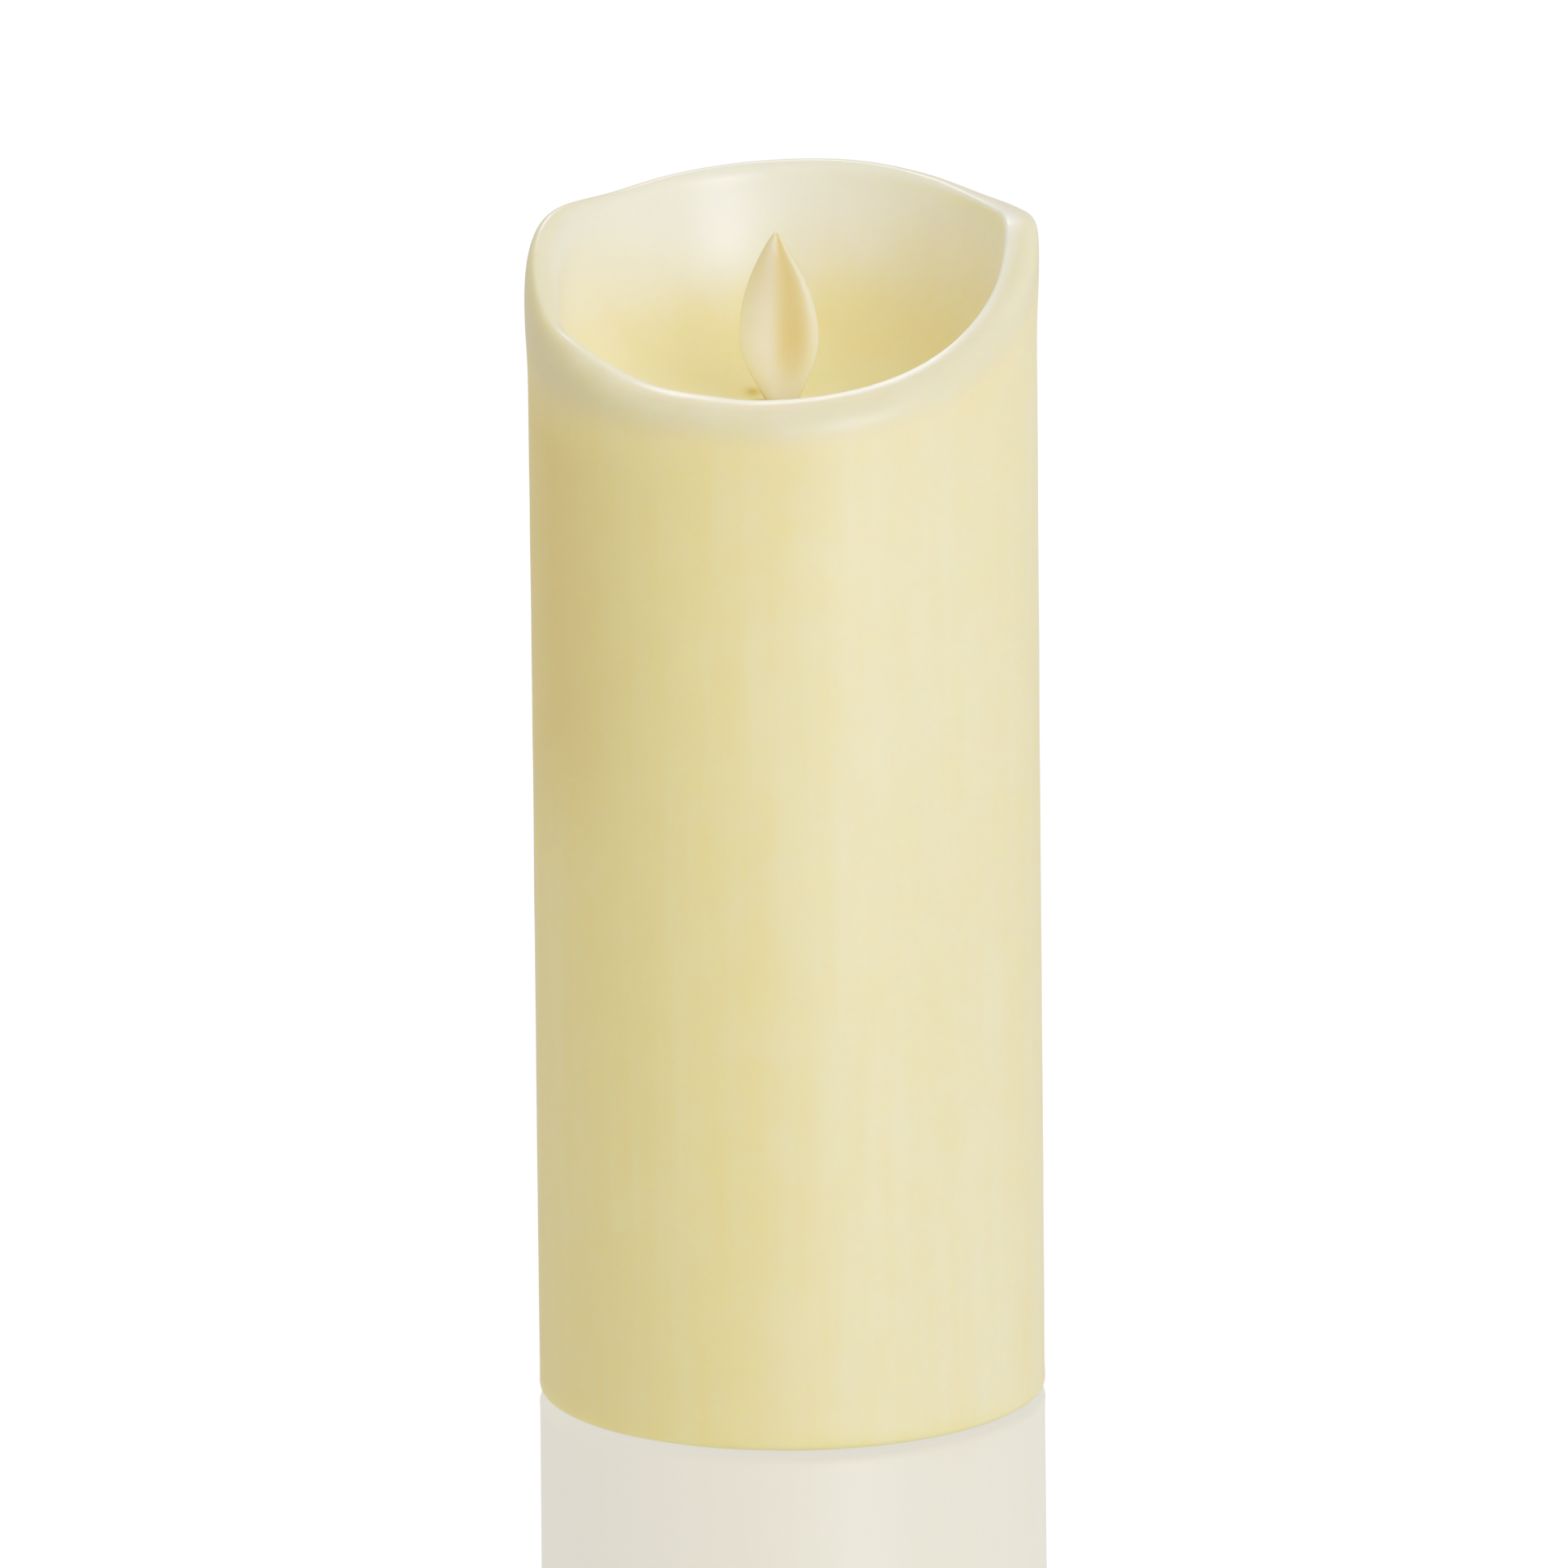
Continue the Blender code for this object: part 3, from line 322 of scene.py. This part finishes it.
def circuit_board():
    """Green lacquer over raised copper tracks, with tinned pads."""
    made, graph = new_material("circuit_board_detail")
    cells = {"Vector": graph.place(), "Scale": 0.32, "Randomness": 0.75}
    edges = graph.add("ShaderNodeTexVoronoi", cells, feature="DISTANCE_TO_EDGE").outputs["Distance"]
    spots = graph.add("ShaderNodeTexVoronoi", cells, distance="EUCLIDEAN").outputs["Distance"]
    weave = graph.noise(0.4, 2.0)
    track = graph.span(edges, 0.10, 0.13, 1.0, 0.0)
    pad = graph.span(spots, 0.14, 0.17, 1.0, 0.0)
    lacquer = graph.mix(graph.span(weave, 0.3, 0.7), (0.012, 0.09, 0.035), (0.018, 0.12, 0.045))
    lacquer = graph.mix(track, lacquer, (0.035, 0.20, 0.07))
    graph.surface({
        "Base Color": graph.mix(pad, lacquer, (0.62, 0.62, 0.58)),
        "Metallic": pad,
        "Roughness": graph.span(weave, 0.3, 0.7, 0.28, 0.36),
        "Normal": graph.bump(graph.maths("MAXIMUM", track, pad), 0.05, 0.8),
    })
    return made


def led_epoxy():
    made, graph = new_material("led_epoxy_detail")
    cloud = graph.noise(2.0, 2.0)
    graph.surface({
        "Base Color": graph.mix(graph.span(cloud, 0.3, 0.7), (0.93, 0.86, 0.55), (0.96, 0.92, 0.70)),
        "Roughness": graph.span(cloud, 0.3, 0.7, 0.06, 0.14),
        "Transmission Weight": 0.7,
        "IOR": 1.54,
    })
    return made


def foam():
    made, graph = new_material("foam_detail")
    cells = graph.add(
        "ShaderNodeTexVoronoi", {"Vector": graph.place(), "Scale": 2.2}, distance="EUCLIDEAN"
    ).outputs["Distance"]
    graph.surface({
        "Base Color": graph.mix(graph.span(cells, 0.0, 0.7), (0.02, 0.02, 0.02), (0.09, 0.09, 0.09)),
        "Roughness": graph.span(cells, 0.0, 0.7, 0.98, 0.86),
        "Normal": graph.bump(cells, 0.3, 0.8),
    })
    return made


def rubber():
    made, graph = new_material("rubber_detail")
    fine = graph.noise(0.3, 3.0)
    dust = graph.noise(1.6, 4.0)
    graph.surface({
        "Base Color": graph.mix(graph.span(dust, 0.45, 0.7), (0.58, 0.57, 0.53), (0.68, 0.67, 0.63)),
        "Roughness": graph.span(fine, 0.3, 0.7, 0.72, 0.9),
        "Normal": graph.bump(fine, 0.03, 0.7),
    })
    return made


def cell_jacket(node):
    """A cell's printed sleeve: blue with a copper-coloured band at the nub's end, and steel at both ends."""
    made, graph = new_material(f"{node}_detail")
    low, high = (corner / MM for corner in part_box(node))
    axis_x, axis_y = (low.x + high.x) / 2, (low.y + high.y) / 2
    nub_up = node.endswith("right")
    body_low = low.z if nub_up else low.z + 1.5
    body_high = high.z - 1.5 if nub_up else high.z
    where = graph.add("ShaderNodeSeparateXYZ", {"Vector": graph.place()}).outputs
    across = graph.add("ShaderNodeCombineXYZ", {
        "X": graph.maths("SUBTRACT", where["X"], axis_x), "Y": graph.maths("SUBTRACT", where["Y"], axis_y),
    }).outputs["Vector"]
    radius = graph.add("ShaderNodeVectorMath", {0: across}, operation="LENGTH").outputs["Value"]
    if nub_up:
        band = graph.maths("GREATER_THAN", where["Z"], body_high - 13.0)
    else:
        band = graph.maths("LESS_THAN", where["Z"], body_low + 13.0)
    ends = graph.maths("LESS_THAN", radius, 11.6)
    cloud = graph.noise(5.0, 3.0)
    sleeve = graph.mix(band, (0.012, 0.035, 0.11), (0.45, 0.20, 0.07))
    sleeve = graph.mix(graph.span(cloud, 0.3, 0.7, 0.0, 0.2), sleeve, (0.1, 0.1, 0.12))
    graph.surface({
        "Base Color": graph.mix(ends, sleeve, (0.60, 0.60, 0.58)),
        "Metallic": graph.maths("MAXIMUM", ends, graph.maths("MULTIPLY", band, 0.6)),
        "Roughness": graph.span(cloud, 0.3, 0.7, 0.22, 0.34),
        "Normal": graph.bump(graph.noise(0.8, 2.0), 0.02, 0.4),
    })
    return made


def insulation(name, dark, light):
    """A lead's soft insulation, faintly rippled where it was handled."""
    made, graph = new_material(name)
    ripple = graph.noise(1.2, 2.0)
    graph.surface({
        "Base Color": graph.mix(graph.span(ripple, 0.3, 0.7), dark, light),
        "Roughness": graph.span(ripple, 0.3, 0.7, 0.34, 0.5),
        "Normal": graph.bump(ripple, 0.06, 0.4),
    })
    return made


FINISHES = {
    "nickel": lambda: metal("nickel_detail", (0.60, 0.60, 0.57), (0.74, 0.73, 0.70), 0.2),
    "steel": lambda: metal("steel_detail", (0.42, 0.42, 0.42), (0.56, 0.56, 0.55), 0.32),
    "zinc": lambda: metal("zinc_detail", (0.50, 0.50, 0.45), (0.66, 0.66, 0.60), 0.34, (1.0, 1.0, 1.0), 0.5),
    "copper_wire": winding,
    "black_plastic": lambda: plastic(
        "black_plastic_detail", (0.020, 0.020, 0.021), (0.032, 0.032, 0.033), 0.46
    ),
    "white_plastic": lambda: plastic("white_plastic_detail", (0.76, 0.75, 0.70), (0.84, 0.83, 0.79), 0.4),
    "ivory_plastic": lambda: plastic("ivory_plastic_detail", (0.78, 0.71, 0.55), (0.84, 0.78, 0.63), 0.44),
    "circuit_board": circuit_board,
    "led_epoxy": led_epoxy,
    "foam": foam,
    "rubber": rubber,
    "capacitor_sleeve": lambda: plastic(
        "capacitor_sleeve_detail", (0.02, 0.025, 0.09), (0.03, 0.04, 0.13), 0.3
    ),
    "red_lead": lambda: insulation("red_lead_detail", (0.45, 0.02, 0.015), (0.60, 0.035, 0.025)),
    "black_lead": lambda: insulation("black_lead_detail", (0.012, 0.012, 0.012), (0.03, 0.03, 0.03)),
    "white_lead": lambda: insulation("white_lead_detail", (0.70, 0.70, 0.66), (0.82, 0.82, 0.79)),
}


def finish_cad_nodes():
    """Gives each carried-over node the detailed material of its slot."""
    slots = {row["node"]: row["material_slot"] for row in frame["record"]["subparts"]}
    made = {}
    for name, node in frame["nodes"].items():
        finish = slots[name]
        if finish == "cell_jacket":
            material = cell_jacket(name)
        elif finish in FINISHES:
            if finish not in made:
                made[finish] = FINISHES[finish]()
            material = made[finish]
        else:
            continue
        node.data.materials.clear()
        node.data.materials.append(material)


def placed(name, data):
    """A new object in the scene."""
    made = bpy.data.objects.new(name, data)
    bpy.context.scene.collection.objects.link(made)
    return made


def solid(name, shape):
    """A new smooth-shaded object with a finished shape, which is used up."""
    bmesh.ops.recalc_face_normals(shape, faces=shape.faces)
    mesh = bpy.data.meshes.new(name)
    shape.to_mesh(mesh)
    shape.free()
    mesh.shade_smooth()
    return placed(name, mesh)


def rim_height(azimuth):
    """Height of the rim's crest at an azimuth, on a smooth curve through the chosen heights."""
    azimuth %= 360
    knots = [(angle + lap, height) for lap in (-360, 0, 360) for angle, height in RIM_HEIGHTS]
    after = next(i for i, (angle, _) in enumerate(knots) if angle > azimuth)
    (a0, h0), (a1, h1), (a2, h2), (a3, h3) = knots[after - 2:after + 2]
    width = a2 - a1
    t = (azimuth - a1) / width
    leaving = (h2 - h0) / (a2 - a0) * width
    arriving = (h3 - h1) / (a3 - a1) * width
    ease = t * t * (3 - 2 * t)
    return h1 + (h2 - h1) * ease + leaving * t * (1 - t) ** 2 - arriving * t * t * (1 - t)


def aperture_reach(angle):
    """Distance from the centre to the edge of the round-ended opening in the bowl's floor."""
    x, y = abs(math.cos(angle)), abs(math.sin(angle))
    if y > 0 and x * APERTURE_RADIUS / y <= APERTURE_HALF:
        return APERTURE_RADIUS / y
    along = APERTURE_HALF * x
    return along + math.sqrt(APERTURE_RADIUS**2 - APERTURE_HALF**2 + along**2)


def spread(start, end, steps):
    """Points on a straight line, without the first."""
    return [
        tuple(a + (b - a) * step / steps for a, b in zip(start, end)) for step in range(1, steps + 1)
    ]


def wax_section(azimuth):
    """The shell's closed section at an azimuth: points of (radius, height) from the opening's lower edge."""
    angle = math.radians(azimuth)
    edge = aperture_reach(angle)
    crest = rim_height(azimuth)
    drop = LIP_DROP + 2.8 * near(azimuth, 185, 35)
    power = 2.2 + 3.6 * near(azimuth, 6, 20)
    soft = eased(azimuth, 25, 60) * (1 - eased(azimuth, 190, 228))
    leftward = near(azimuth, 185, 32)
    rightward = near(azimuth, 350, 35)
    edge_out = 0.4 + 1.3 * soft + 1.9 * leftward + 0.4 * rightward
    edge_down = 0.5 + 2.0 * soft + 5.5 * leftward + 0.7 * rightward
    lip_foot = crest - drop
    points = [(edge, FLOOR_UNDER)]
    points += spread(points[-1], (edge, FLOOR_TOP - APERTURE_ROUND), 4)
    points += [
        (edge + APERTURE_ROUND * (1 - math.cos(turn)), FLOOR_TOP - APERTURE_ROUND * (1 - math.sin(turn)))
        for turn in (0.5, 1.05, 1.57)
    ]
    points += spread(points[-1], (BOWL_FLAT, FLOOR_TOP), 14)
    wall_top = crest - edge_down
    for step in range(1, 33):
        turn = math.radians(90 * step / 32)
        out = math.sin(turn) ** (2 / BOWL_POWER)
        up = 1 - math.cos(turn) ** (2 / BOWL_POWER)
        points.append((BOWL_FLAT + (CREST_RADIUS - BOWL_FLAT) * out, FLOOR_TOP + (wall_top - FLOOR_TOP) * up))
    for step in range(1, 7):
        turn = math.radians(90 * step / 6)
        points.append((CREST_RADIUS + edge_out * (1 - math.cos(turn)), wall_top + edge_down * math.sin(turn)))
    start = CREST_RADIUS + edge_out
    for step in range(1, 15):
        turn = math.radians(90 * step / 14)
        across = math.sin(turn) ** (2 / power)
        down = 1 - math.cos(turn) ** (2 / power)
        points.append((start + (TOP_RADIUS - start) * across, crest - drop * down))
    foot = SHELL_LOW.z + FOOT_ROUND
    for step in range(1, WALL_ROWS + 1):
        height = lip_foot + (foot - lip_foot) * step / WALL_ROWS
        below = crest - height
        swell = LIP_SWELL * math.exp(-(((below - drop) / LIP_SWELL_REACH) ** 2))
        taper = FOOT_RADIUS + (BODY_RADIUS - FOOT_RADIUS) * clamped(height / FLOOR_TOP)
        points.append((min(taper + swell, TOP_RADIUS), height))
    for turn in (0.4, 0.8, 1.2, 1.57):
        points.append((FOOT_RADIUS - FOOT_ROUND * (1 - math.cos(turn)), foot - FOOT_ROUND * math.sin(turn)))
    points += spread(points[-1], (BORE_RADIUS, SHELL_LOW.z), 3)
    points += spread(points[-1], (BORE_RADIUS, FLOOR_UNDER), 24)
    points += spread(points[-1], (edge, FLOOR_UNDER), 8)[:-1]
    return points


def wax_unevenness(point):
    """How far a hand-finished wax surface stands off its turned shape, in millimetres."""
    broad = noise.noise(Vector((point.x, point.y, point.z * 0.35)) / 24.0)
    fine = noise.noise(Vector((point.x, point.y, point.z * 0.6)) / 6.0 + Vector((7.0, 3.0, 1.0)))
    return 0.10 * broad + 0.03 * fine


def wax_piece():
    shape = bmesh.new()
    rim = shape.verts.layers.float.new("rim")
    deep = shape.verts.layers.float.new("deep")
    inner_painted_light = shape.verts.layers.float.new("inner_painted_light")
    painted_left_shade = shape.verts.layers.float.new("painted_left_shade")
    opening_shade = shape.verts.layers.float.new("opening_shade")
    at_crest = shape.verts.layers.float.new("crest")
    columns = []
    for column in range(COLUMNS):
        azimuth = 360 * column / COLUMNS
        angle = math.radians(azimuth)
        crest = rim_height(azimuth)
        ring = []
        for radius, height in wax_section(azimuth):
            point = Vector((radius * math.cos(angle), radius * math.sin(angle), height))
            outside = radius > CREST_RADIUS + 0.1 and height > SHELL_LOW.z + FOOT_ROUND
            if outside:
                stand_off = wax_unevenness(point) - 0.05
                point += Vector((math.cos(angle), math.sin(angle), 0.0)) * min(stand_off, 0.0)
            vertex = shape.verts.new(point * MM)
            below = crest - height
            out_over = eased(radius, CREST_RADIUS, CREST_RADIUS + 2.5)
            in_bowl = height >= FLOOR_TOP - 0.01 and below < 30 and radius < TOP_RADIUS - 2
            leftward = near(azimuth, 192, 26)
            # Painted light on the lip: strongest at the crest, reaching further down on the left.
            vertex[rim] = 1 - eased(below, 2.0 + 4.0 * leftward, 8.0 + 12.0 * leftward)
            vertex[at_crest] = 1 - eased(below, 0.5, 2.5)
            # Painted light in the bowl: paler up the wall, with a painted highlight patch at the back left
            # near azimuth 108 and less near azimuth 172.
            paleness = 0.84 + 0.16 * near(azimuth, 108, 22) - 0.25 * near(azimuth, 172, 28)
            paleness *= (0.7 + 0.3 * eased(below, 0.0, 4.0)) * (1 - out_over)
            vertex[inner_painted_light] = eased(height, FLOOR_TOP + 1.0, FLOOR_TOP + 25.0) * paleness if in_bowl else 0.0
            # A faint painted highlight in the same pale tone on the outer wall at the front right.
            if outside and not in_bowl:
                vertex[inner_painted_light] = 0.13 * near(azimuth, 312, 24) * eased(below, 2, 12)
            vertex[deep] = 1 - eased(height, FLOOR_TOP, FLOOR_TOP + 14.0) if in_bowl else 0.0
            # Painted shade on the left side, strongest from mid height up.
            darker = near(azimuth, 198, 30) * eased(height, 82, 120) + 0.45 * near(azimuth, 186, 14)
            vertex[painted_left_shade] = min(darker, 1.0) * eased(below, 5, 20) if outside else 0.0
            # The painted shade spot of the opening's depth, on the bowl's floor.
            off_x, off_y = ((p - q) / size for p, q, size in zip(point, OPENING_SHADE_SPOT, OPENING_SHADE_SPOT_SIZE))
            on_floor = in_bowl and radius < BOWL_FLAT
            vertex[opening_shade] = 0.95 * math.exp(-(off_x * off_x + off_y * off_y)) if on_floor else 0.0
            ring.append(vertex)
        columns.append(ring)
    count = len(columns[0])
    for column, ring in enumerate(columns):
        following = columns[(column + 1) % COLUMNS]
        for row in range(count):
            after = (row + 1) % count
            shape.faces.new((ring[row], following[row], following[after], ring[after]))
    made = solid("candle_wax", shape)
    made.data.materials.append(wax())
    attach(made, "candle_body")
    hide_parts("wax_shell")
    return made


def through(knots, share, steps):
    """A point on a smooth open curve through the knots, at a count of steps along it."""
    place = share / steps
    index = min(int(place), len(knots) - 2)
    t = place - index
    a, b, c, d = (Vector(knots[min(max(index + k, 0), len(knots) - 1)]) for k in (-1, 0, 1, 2))
    return b + (c - a) * t / 2 + (a * 2 - b * 5 + c * 4 - d) * t * t / 2 + (b * 3 - a - c * 3 + d) * t**3 / 2


def camber(share):
    """The camber at a place across the leaf, on a smooth curve through the chosen ones."""
    after = next((i for i, (place, _) in enumerate(CAMBER) if place > share), len(CAMBER) - 1)
    (p1, c1), (p2, c2) = CAMBER[after - 1], CAMBER[after]
    t = clamped((share - p1) / (p2 - p1))
    before = CAMBER[max(after - 2, 0)]
    beyond = CAMBER[min(after + 1, len(CAMBER) - 1)]
    leaving = (c2 - before[1]) / (p2 - before[0]) * (p2 - p1)
    arriving = (beyond[1] - c1) / (beyond[0] - p1) * (p2 - p1)
    ease = t * t * (3 - 2 * t)
    return c1 + (c2 - c1) * ease + leaving * t * (1 - t) ** 2 - arriving * t * t * (1 - t)


def turned_tool(name, profile, steps=48):
    """A solid turned about Z from a profile of (radius, height) whose ends are on the axis."""
    shape = bmesh.new()
    top, bottom = (shape.verts.new((0, 0, height * MM)) for _, height in (profile[0], profile[-1]))
    columns = []
    for step in range(steps):
        angle = math.tau * step / steps
        columns.append([
            shape.verts.new(Vector((radius * math.cos(angle), radius * math.sin(angle), height)) * MM)
            for radius, height in profile[1:-1]
        ])
    for column, ring in enumerate(columns):
        following = columns[(column + 1) % steps]
        shape.faces.new((top, ring[0], following[0]))
        shape.faces.new((bottom, following[-1], ring[-1]))
        for a, b, c, d in zip(ring, ring[1:], following[1:], following):
            shape.faces.new((a, b, c, d))
    return solid(name, shape)


def apply_tool(target, tool, operation):
    """Cuts or joins a solid with a tool, which is used up."""
    modifier = target.modifiers.new(operation, "BOOLEAN")
    modifier.operation = operation
    modifier.solver = "EXACT"
    modifier.object = tool
    bpy.context.view_layer.update()
    shaped = bpy.data.meshes.new_from_object(target.evaluated_get(bpy.context.evaluated_depsgraph_get()))
    target.modifiers.clear()
    shaped.name = target.data.name
    target.data = shaped
    bpy.data.objects.remove(tool)


def flame_piece():
    """The cupped leaf with its stem, the eye that the wire passes through, and the foot above the magnet."""
    shape = bmesh.new()
    groove_shade = shape.verts.layers.float.new("groove_shade")
    upper = shape.verts.layers.float.new("upper")
    rings = []
    rows = (len(FLAME_LEFT) - 1) * FLAME_ROWS
    for row in range(rows + 1):
        left = through(FLAME_LEFT, row, FLAME_ROWS)
        right = through(FLAME_RIGHT, row, FLAME_ROWS)
        middle, half = (left + right) / 2, (right - left) / 2
        leaf = eased(middle.y, LEAF_FROM, LEAF_FULL)
        size = clamped(half.x / LEAF_HALF_WIDTH)
        thick = STEM_HALF_DEPTH + (LEAF_HALF_DEPTH - STEM_HALF_DEPTH) * leaf
        thick *= 0.45 + 0.55 * clamped((FLAME_TIP[1] + 0.4 - middle.y) / 4.0)
        ring = []
        for side in (-1, 1):
            for column in range(FLAME_COLUMNS):
                turn = math.pi * column / FLAME_COLUMNS
                share = side * math.cos(turn)
                place = middle + half * share
                depth = side * thick * math.sin(turn) ** (0.6 + 0.3 * leaf)
                depth += leaf * (0.3 + 0.7 * size) * camber(share)
                vertex = shape.verts.new(Vector((place.x, depth, place.y)) * MM)
                # Painted shade across the leaf's right half, fading in upward from the leaf's lower part.
                across = eased(share, -0.32, 0.2) * (1 - eased(share, 0.4, 1.05))
                vertex[groove_shade] = across * eased(middle.y, 160.0, 172.0)
                vertex[upper] = eased(middle.y, 168.0, 184.0)
                ring.append(vertex)
        rings.append(ring)
    around = len(rings[0])
    for lower, upper in zip(rings, rings[1:]):
        for column in range(around):
            after = (column + 1) % around
            shape.faces.new((lower[column], lower[after], upper[after], upper[column]))
    shape.faces.new(rings[0])
    tip = shape.verts.new(Vector((FLAME_TIP[0], 0.0, FLAME_TIP[1])) * MM)
    for column in range(around):
        shape.faces.new((rings[-1][column], rings[-1][(column + 1) % around], tip))
    made = solid("moving_flame", shape)
    drill = turned_tool("eye_drill", ((0.0, 3.0), (EYE_RADIUS, 3.0), (EYE_RADIUS, -3.0), (0.0, -3.0)))
    drill.rotation_euler.x = math.radians(90)
    drill.location.z = EYE_Z * MM
    apply_tool(made, drill, "DIFFERENCE")
    apply_tool(made, turned_tool("flame_foot", FLAME_FOOT), "UNION")
    made.data.set_sharp_from_angle(angle=math.radians(40))
    made.data.materials.clear()
    made.data.materials.append(flame_plastic())
    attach(made, "flame")
    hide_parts("flame_leaf")
    return made


def floor():
    """A pale glossy surface that faintly mirrors what stands on it, and isn't there from below."""
    mesh = bpy.data.meshes.new("floor")
    half = 6.0
    corners = [(-half, -half, 0), (half, -half, 0), (half, half, 0), (-half, half, 0)]
    mesh.from_pydata(corners, [], [(0, 1, 2, 3)])
    made = placed("floor", mesh)
    made.location.z = -0.0002
    material, graph = new_material("floor")
    pale = graph.add("ShaderNodeEmission", {"Color": (1.0, 1.0, 1.0), "Strength": 0.45})
    gloss = graph.add("ShaderNodeBsdfGlossy", {"Color": (0.48, 0.48, 0.48), "Roughness": 0.0})
    both = graph.add("ShaderNodeAddShader", {0: pale.outputs[0], 1: gloss.outputs[0]})
    fill = graph.add("ShaderNodeEmission", {"Color": (1.0, 0.98, 0.95), "Strength": FLOOR_FILL})
    direct = graph.add("ShaderNodeLightPath").outputs["Is Camera Ray"]
    above = graph.add("ShaderNodeMixShader", {0: direct, 1: fill.outputs[0], 2: both.outputs[0]})
    below = graph.add("ShaderNodeBsdfTransparent")
    side = graph.add("ShaderNodeNewGeometry").outputs["Backfacing"]
    shown = graph.add("ShaderNodeMixShader", {0: side, 1: above.outputs[0], 2: below.outputs[0]})
    graph.add("ShaderNodeOutputMaterial", {"Surface": shown.outputs[0]})
    mesh.materials.append(material)


def surroundings():
    """White to the camera and where the floor mirrors it, and dimmer as ambient light."""
    world = bpy.data.worlds.new("studio")
    bpy.context.scene.world = world
    world.use_nodes = True
    graph = Graph(world.node_tree)
    ray = graph.add("ShaderNodeLightPath").outputs
    where = graph.add("ShaderNodeTexCoord").outputs["Generated"]
    towards = graph.add("ShaderNodeSeparateXYZ", {"Vector": where}).outputs
    upward = graph.span(towards["Z"], 0.3, 0.9, SKY_FILL, SKY_TOP)
    behind = graph.span(towards["Y"], 0.2, 0.9, 0.0, SKY_BACK)
    seen = graph.add("ShaderNodeBackground", {"Color": (1.0, 1.0, 1.0), "Strength": 1.85})
    strength = graph.maths("ADD", upward, behind)
    ambient = graph.add("ShaderNodeBackground", {"Color": (1.0, 0.98, 0.95), "Strength": strength})
    shown = graph.maths("MAXIMUM", ray["Is Camera Ray"], ray["Is Singular Ray"])
    mixed = graph.add("ShaderNodeMixShader", {0: shown, 1: ambient.outputs[0], 2: seen.outputs[0]})
    graph.add("ShaderNodeOutputWorld", {"Surface": mixed.outputs[0]})


def softbox(name, azimuth, elevation, distance, size, power, colour):
    """An area light on the candle, at an azimuth measured from the camera towards the right."""
    data = bpy.data.lights.new(name, "AREA")
    data.shape = "RECTANGLE"
    data.size, data.size_y = size
    data.energy = power
    data.color = colour
    made = placed(name, data)
    around, up = math.radians(azimuth - 90), math.radians(elevation)
    toward = Vector((math.cos(around) * math.cos(up), math.sin(around) * math.cos(up), math.sin(up)))
    made.location = Vector((0.0, 0.0, 0.11)) + toward * distance
    made.rotation_euler = toward.to_track_quat("Z", "Y").to_euler()
    made.visible_camera = False
    return made


def lights():
    """A broad key light from the front right, and two panels that show only as soft reflections."""
    key = softbox("key_softbox", 38, 28, 1.1, (0.8, 0.8), 6.6, (0.97, 0.98, 1.0))
    key.visible_glossy = False
    front = softbox("front_panel", 29, 6, 1.1, (0.4, 0.55), 13.0, (0.97, 0.99, 1.0))
    front.visible_diffuse = False
    back = softbox("back_panel", 188, 41, 1.1, (0.22, 0.3), 2.8, (0.98, 0.99, 1.0))
    back.visible_diffuse = False


def camera():
    """A long lens from far off, so that the candle's sides stay parallel."""
    elevation, roll = math.radians(15.0), math.radians(-0.565)
    distance, view_width = 10.0, 0.24653
    data = bpy.data.cameras.new("camera")
    data.sensor_width = 36.0
    data.lens = data.sensor_width * distance / view_width
    data.clip_end = 100.0
    made = placed("camera", data)
    aim = Vector((-0.00042, 0.0, 0.0983))
    away = Vector((0.0, -math.cos(elevation), math.sin(elevation)))
    made.location = aim + away * distance
    turned = away.to_track_quat("Z", "Y").to_euler()
    turned.rotate_axis("Z", roll)
    made.rotation_euler = turned
    bpy.context.scene.camera = made


def response():
    """A camera's tone curve: a little more contrast in the middle, and a soft shoulder up to white."""
    settings = bpy.context.scene.view_settings
    settings.view_transform = "Standard"
    settings.use_curve_mapping = True
    mapping = settings.curve_mapping
    mapping.white_level = (WHITE_LEVEL,) * 3
    curve = mapping.curves[3]
    for value, shown in RESPONSE:
        curve.points.new(value / WHITE_LEVEL, shown)
    mapping.update()


finish_cad_nodes()
wax_piece()
flame_piece()
floor()
surroundings()
lights()
camera()
response()
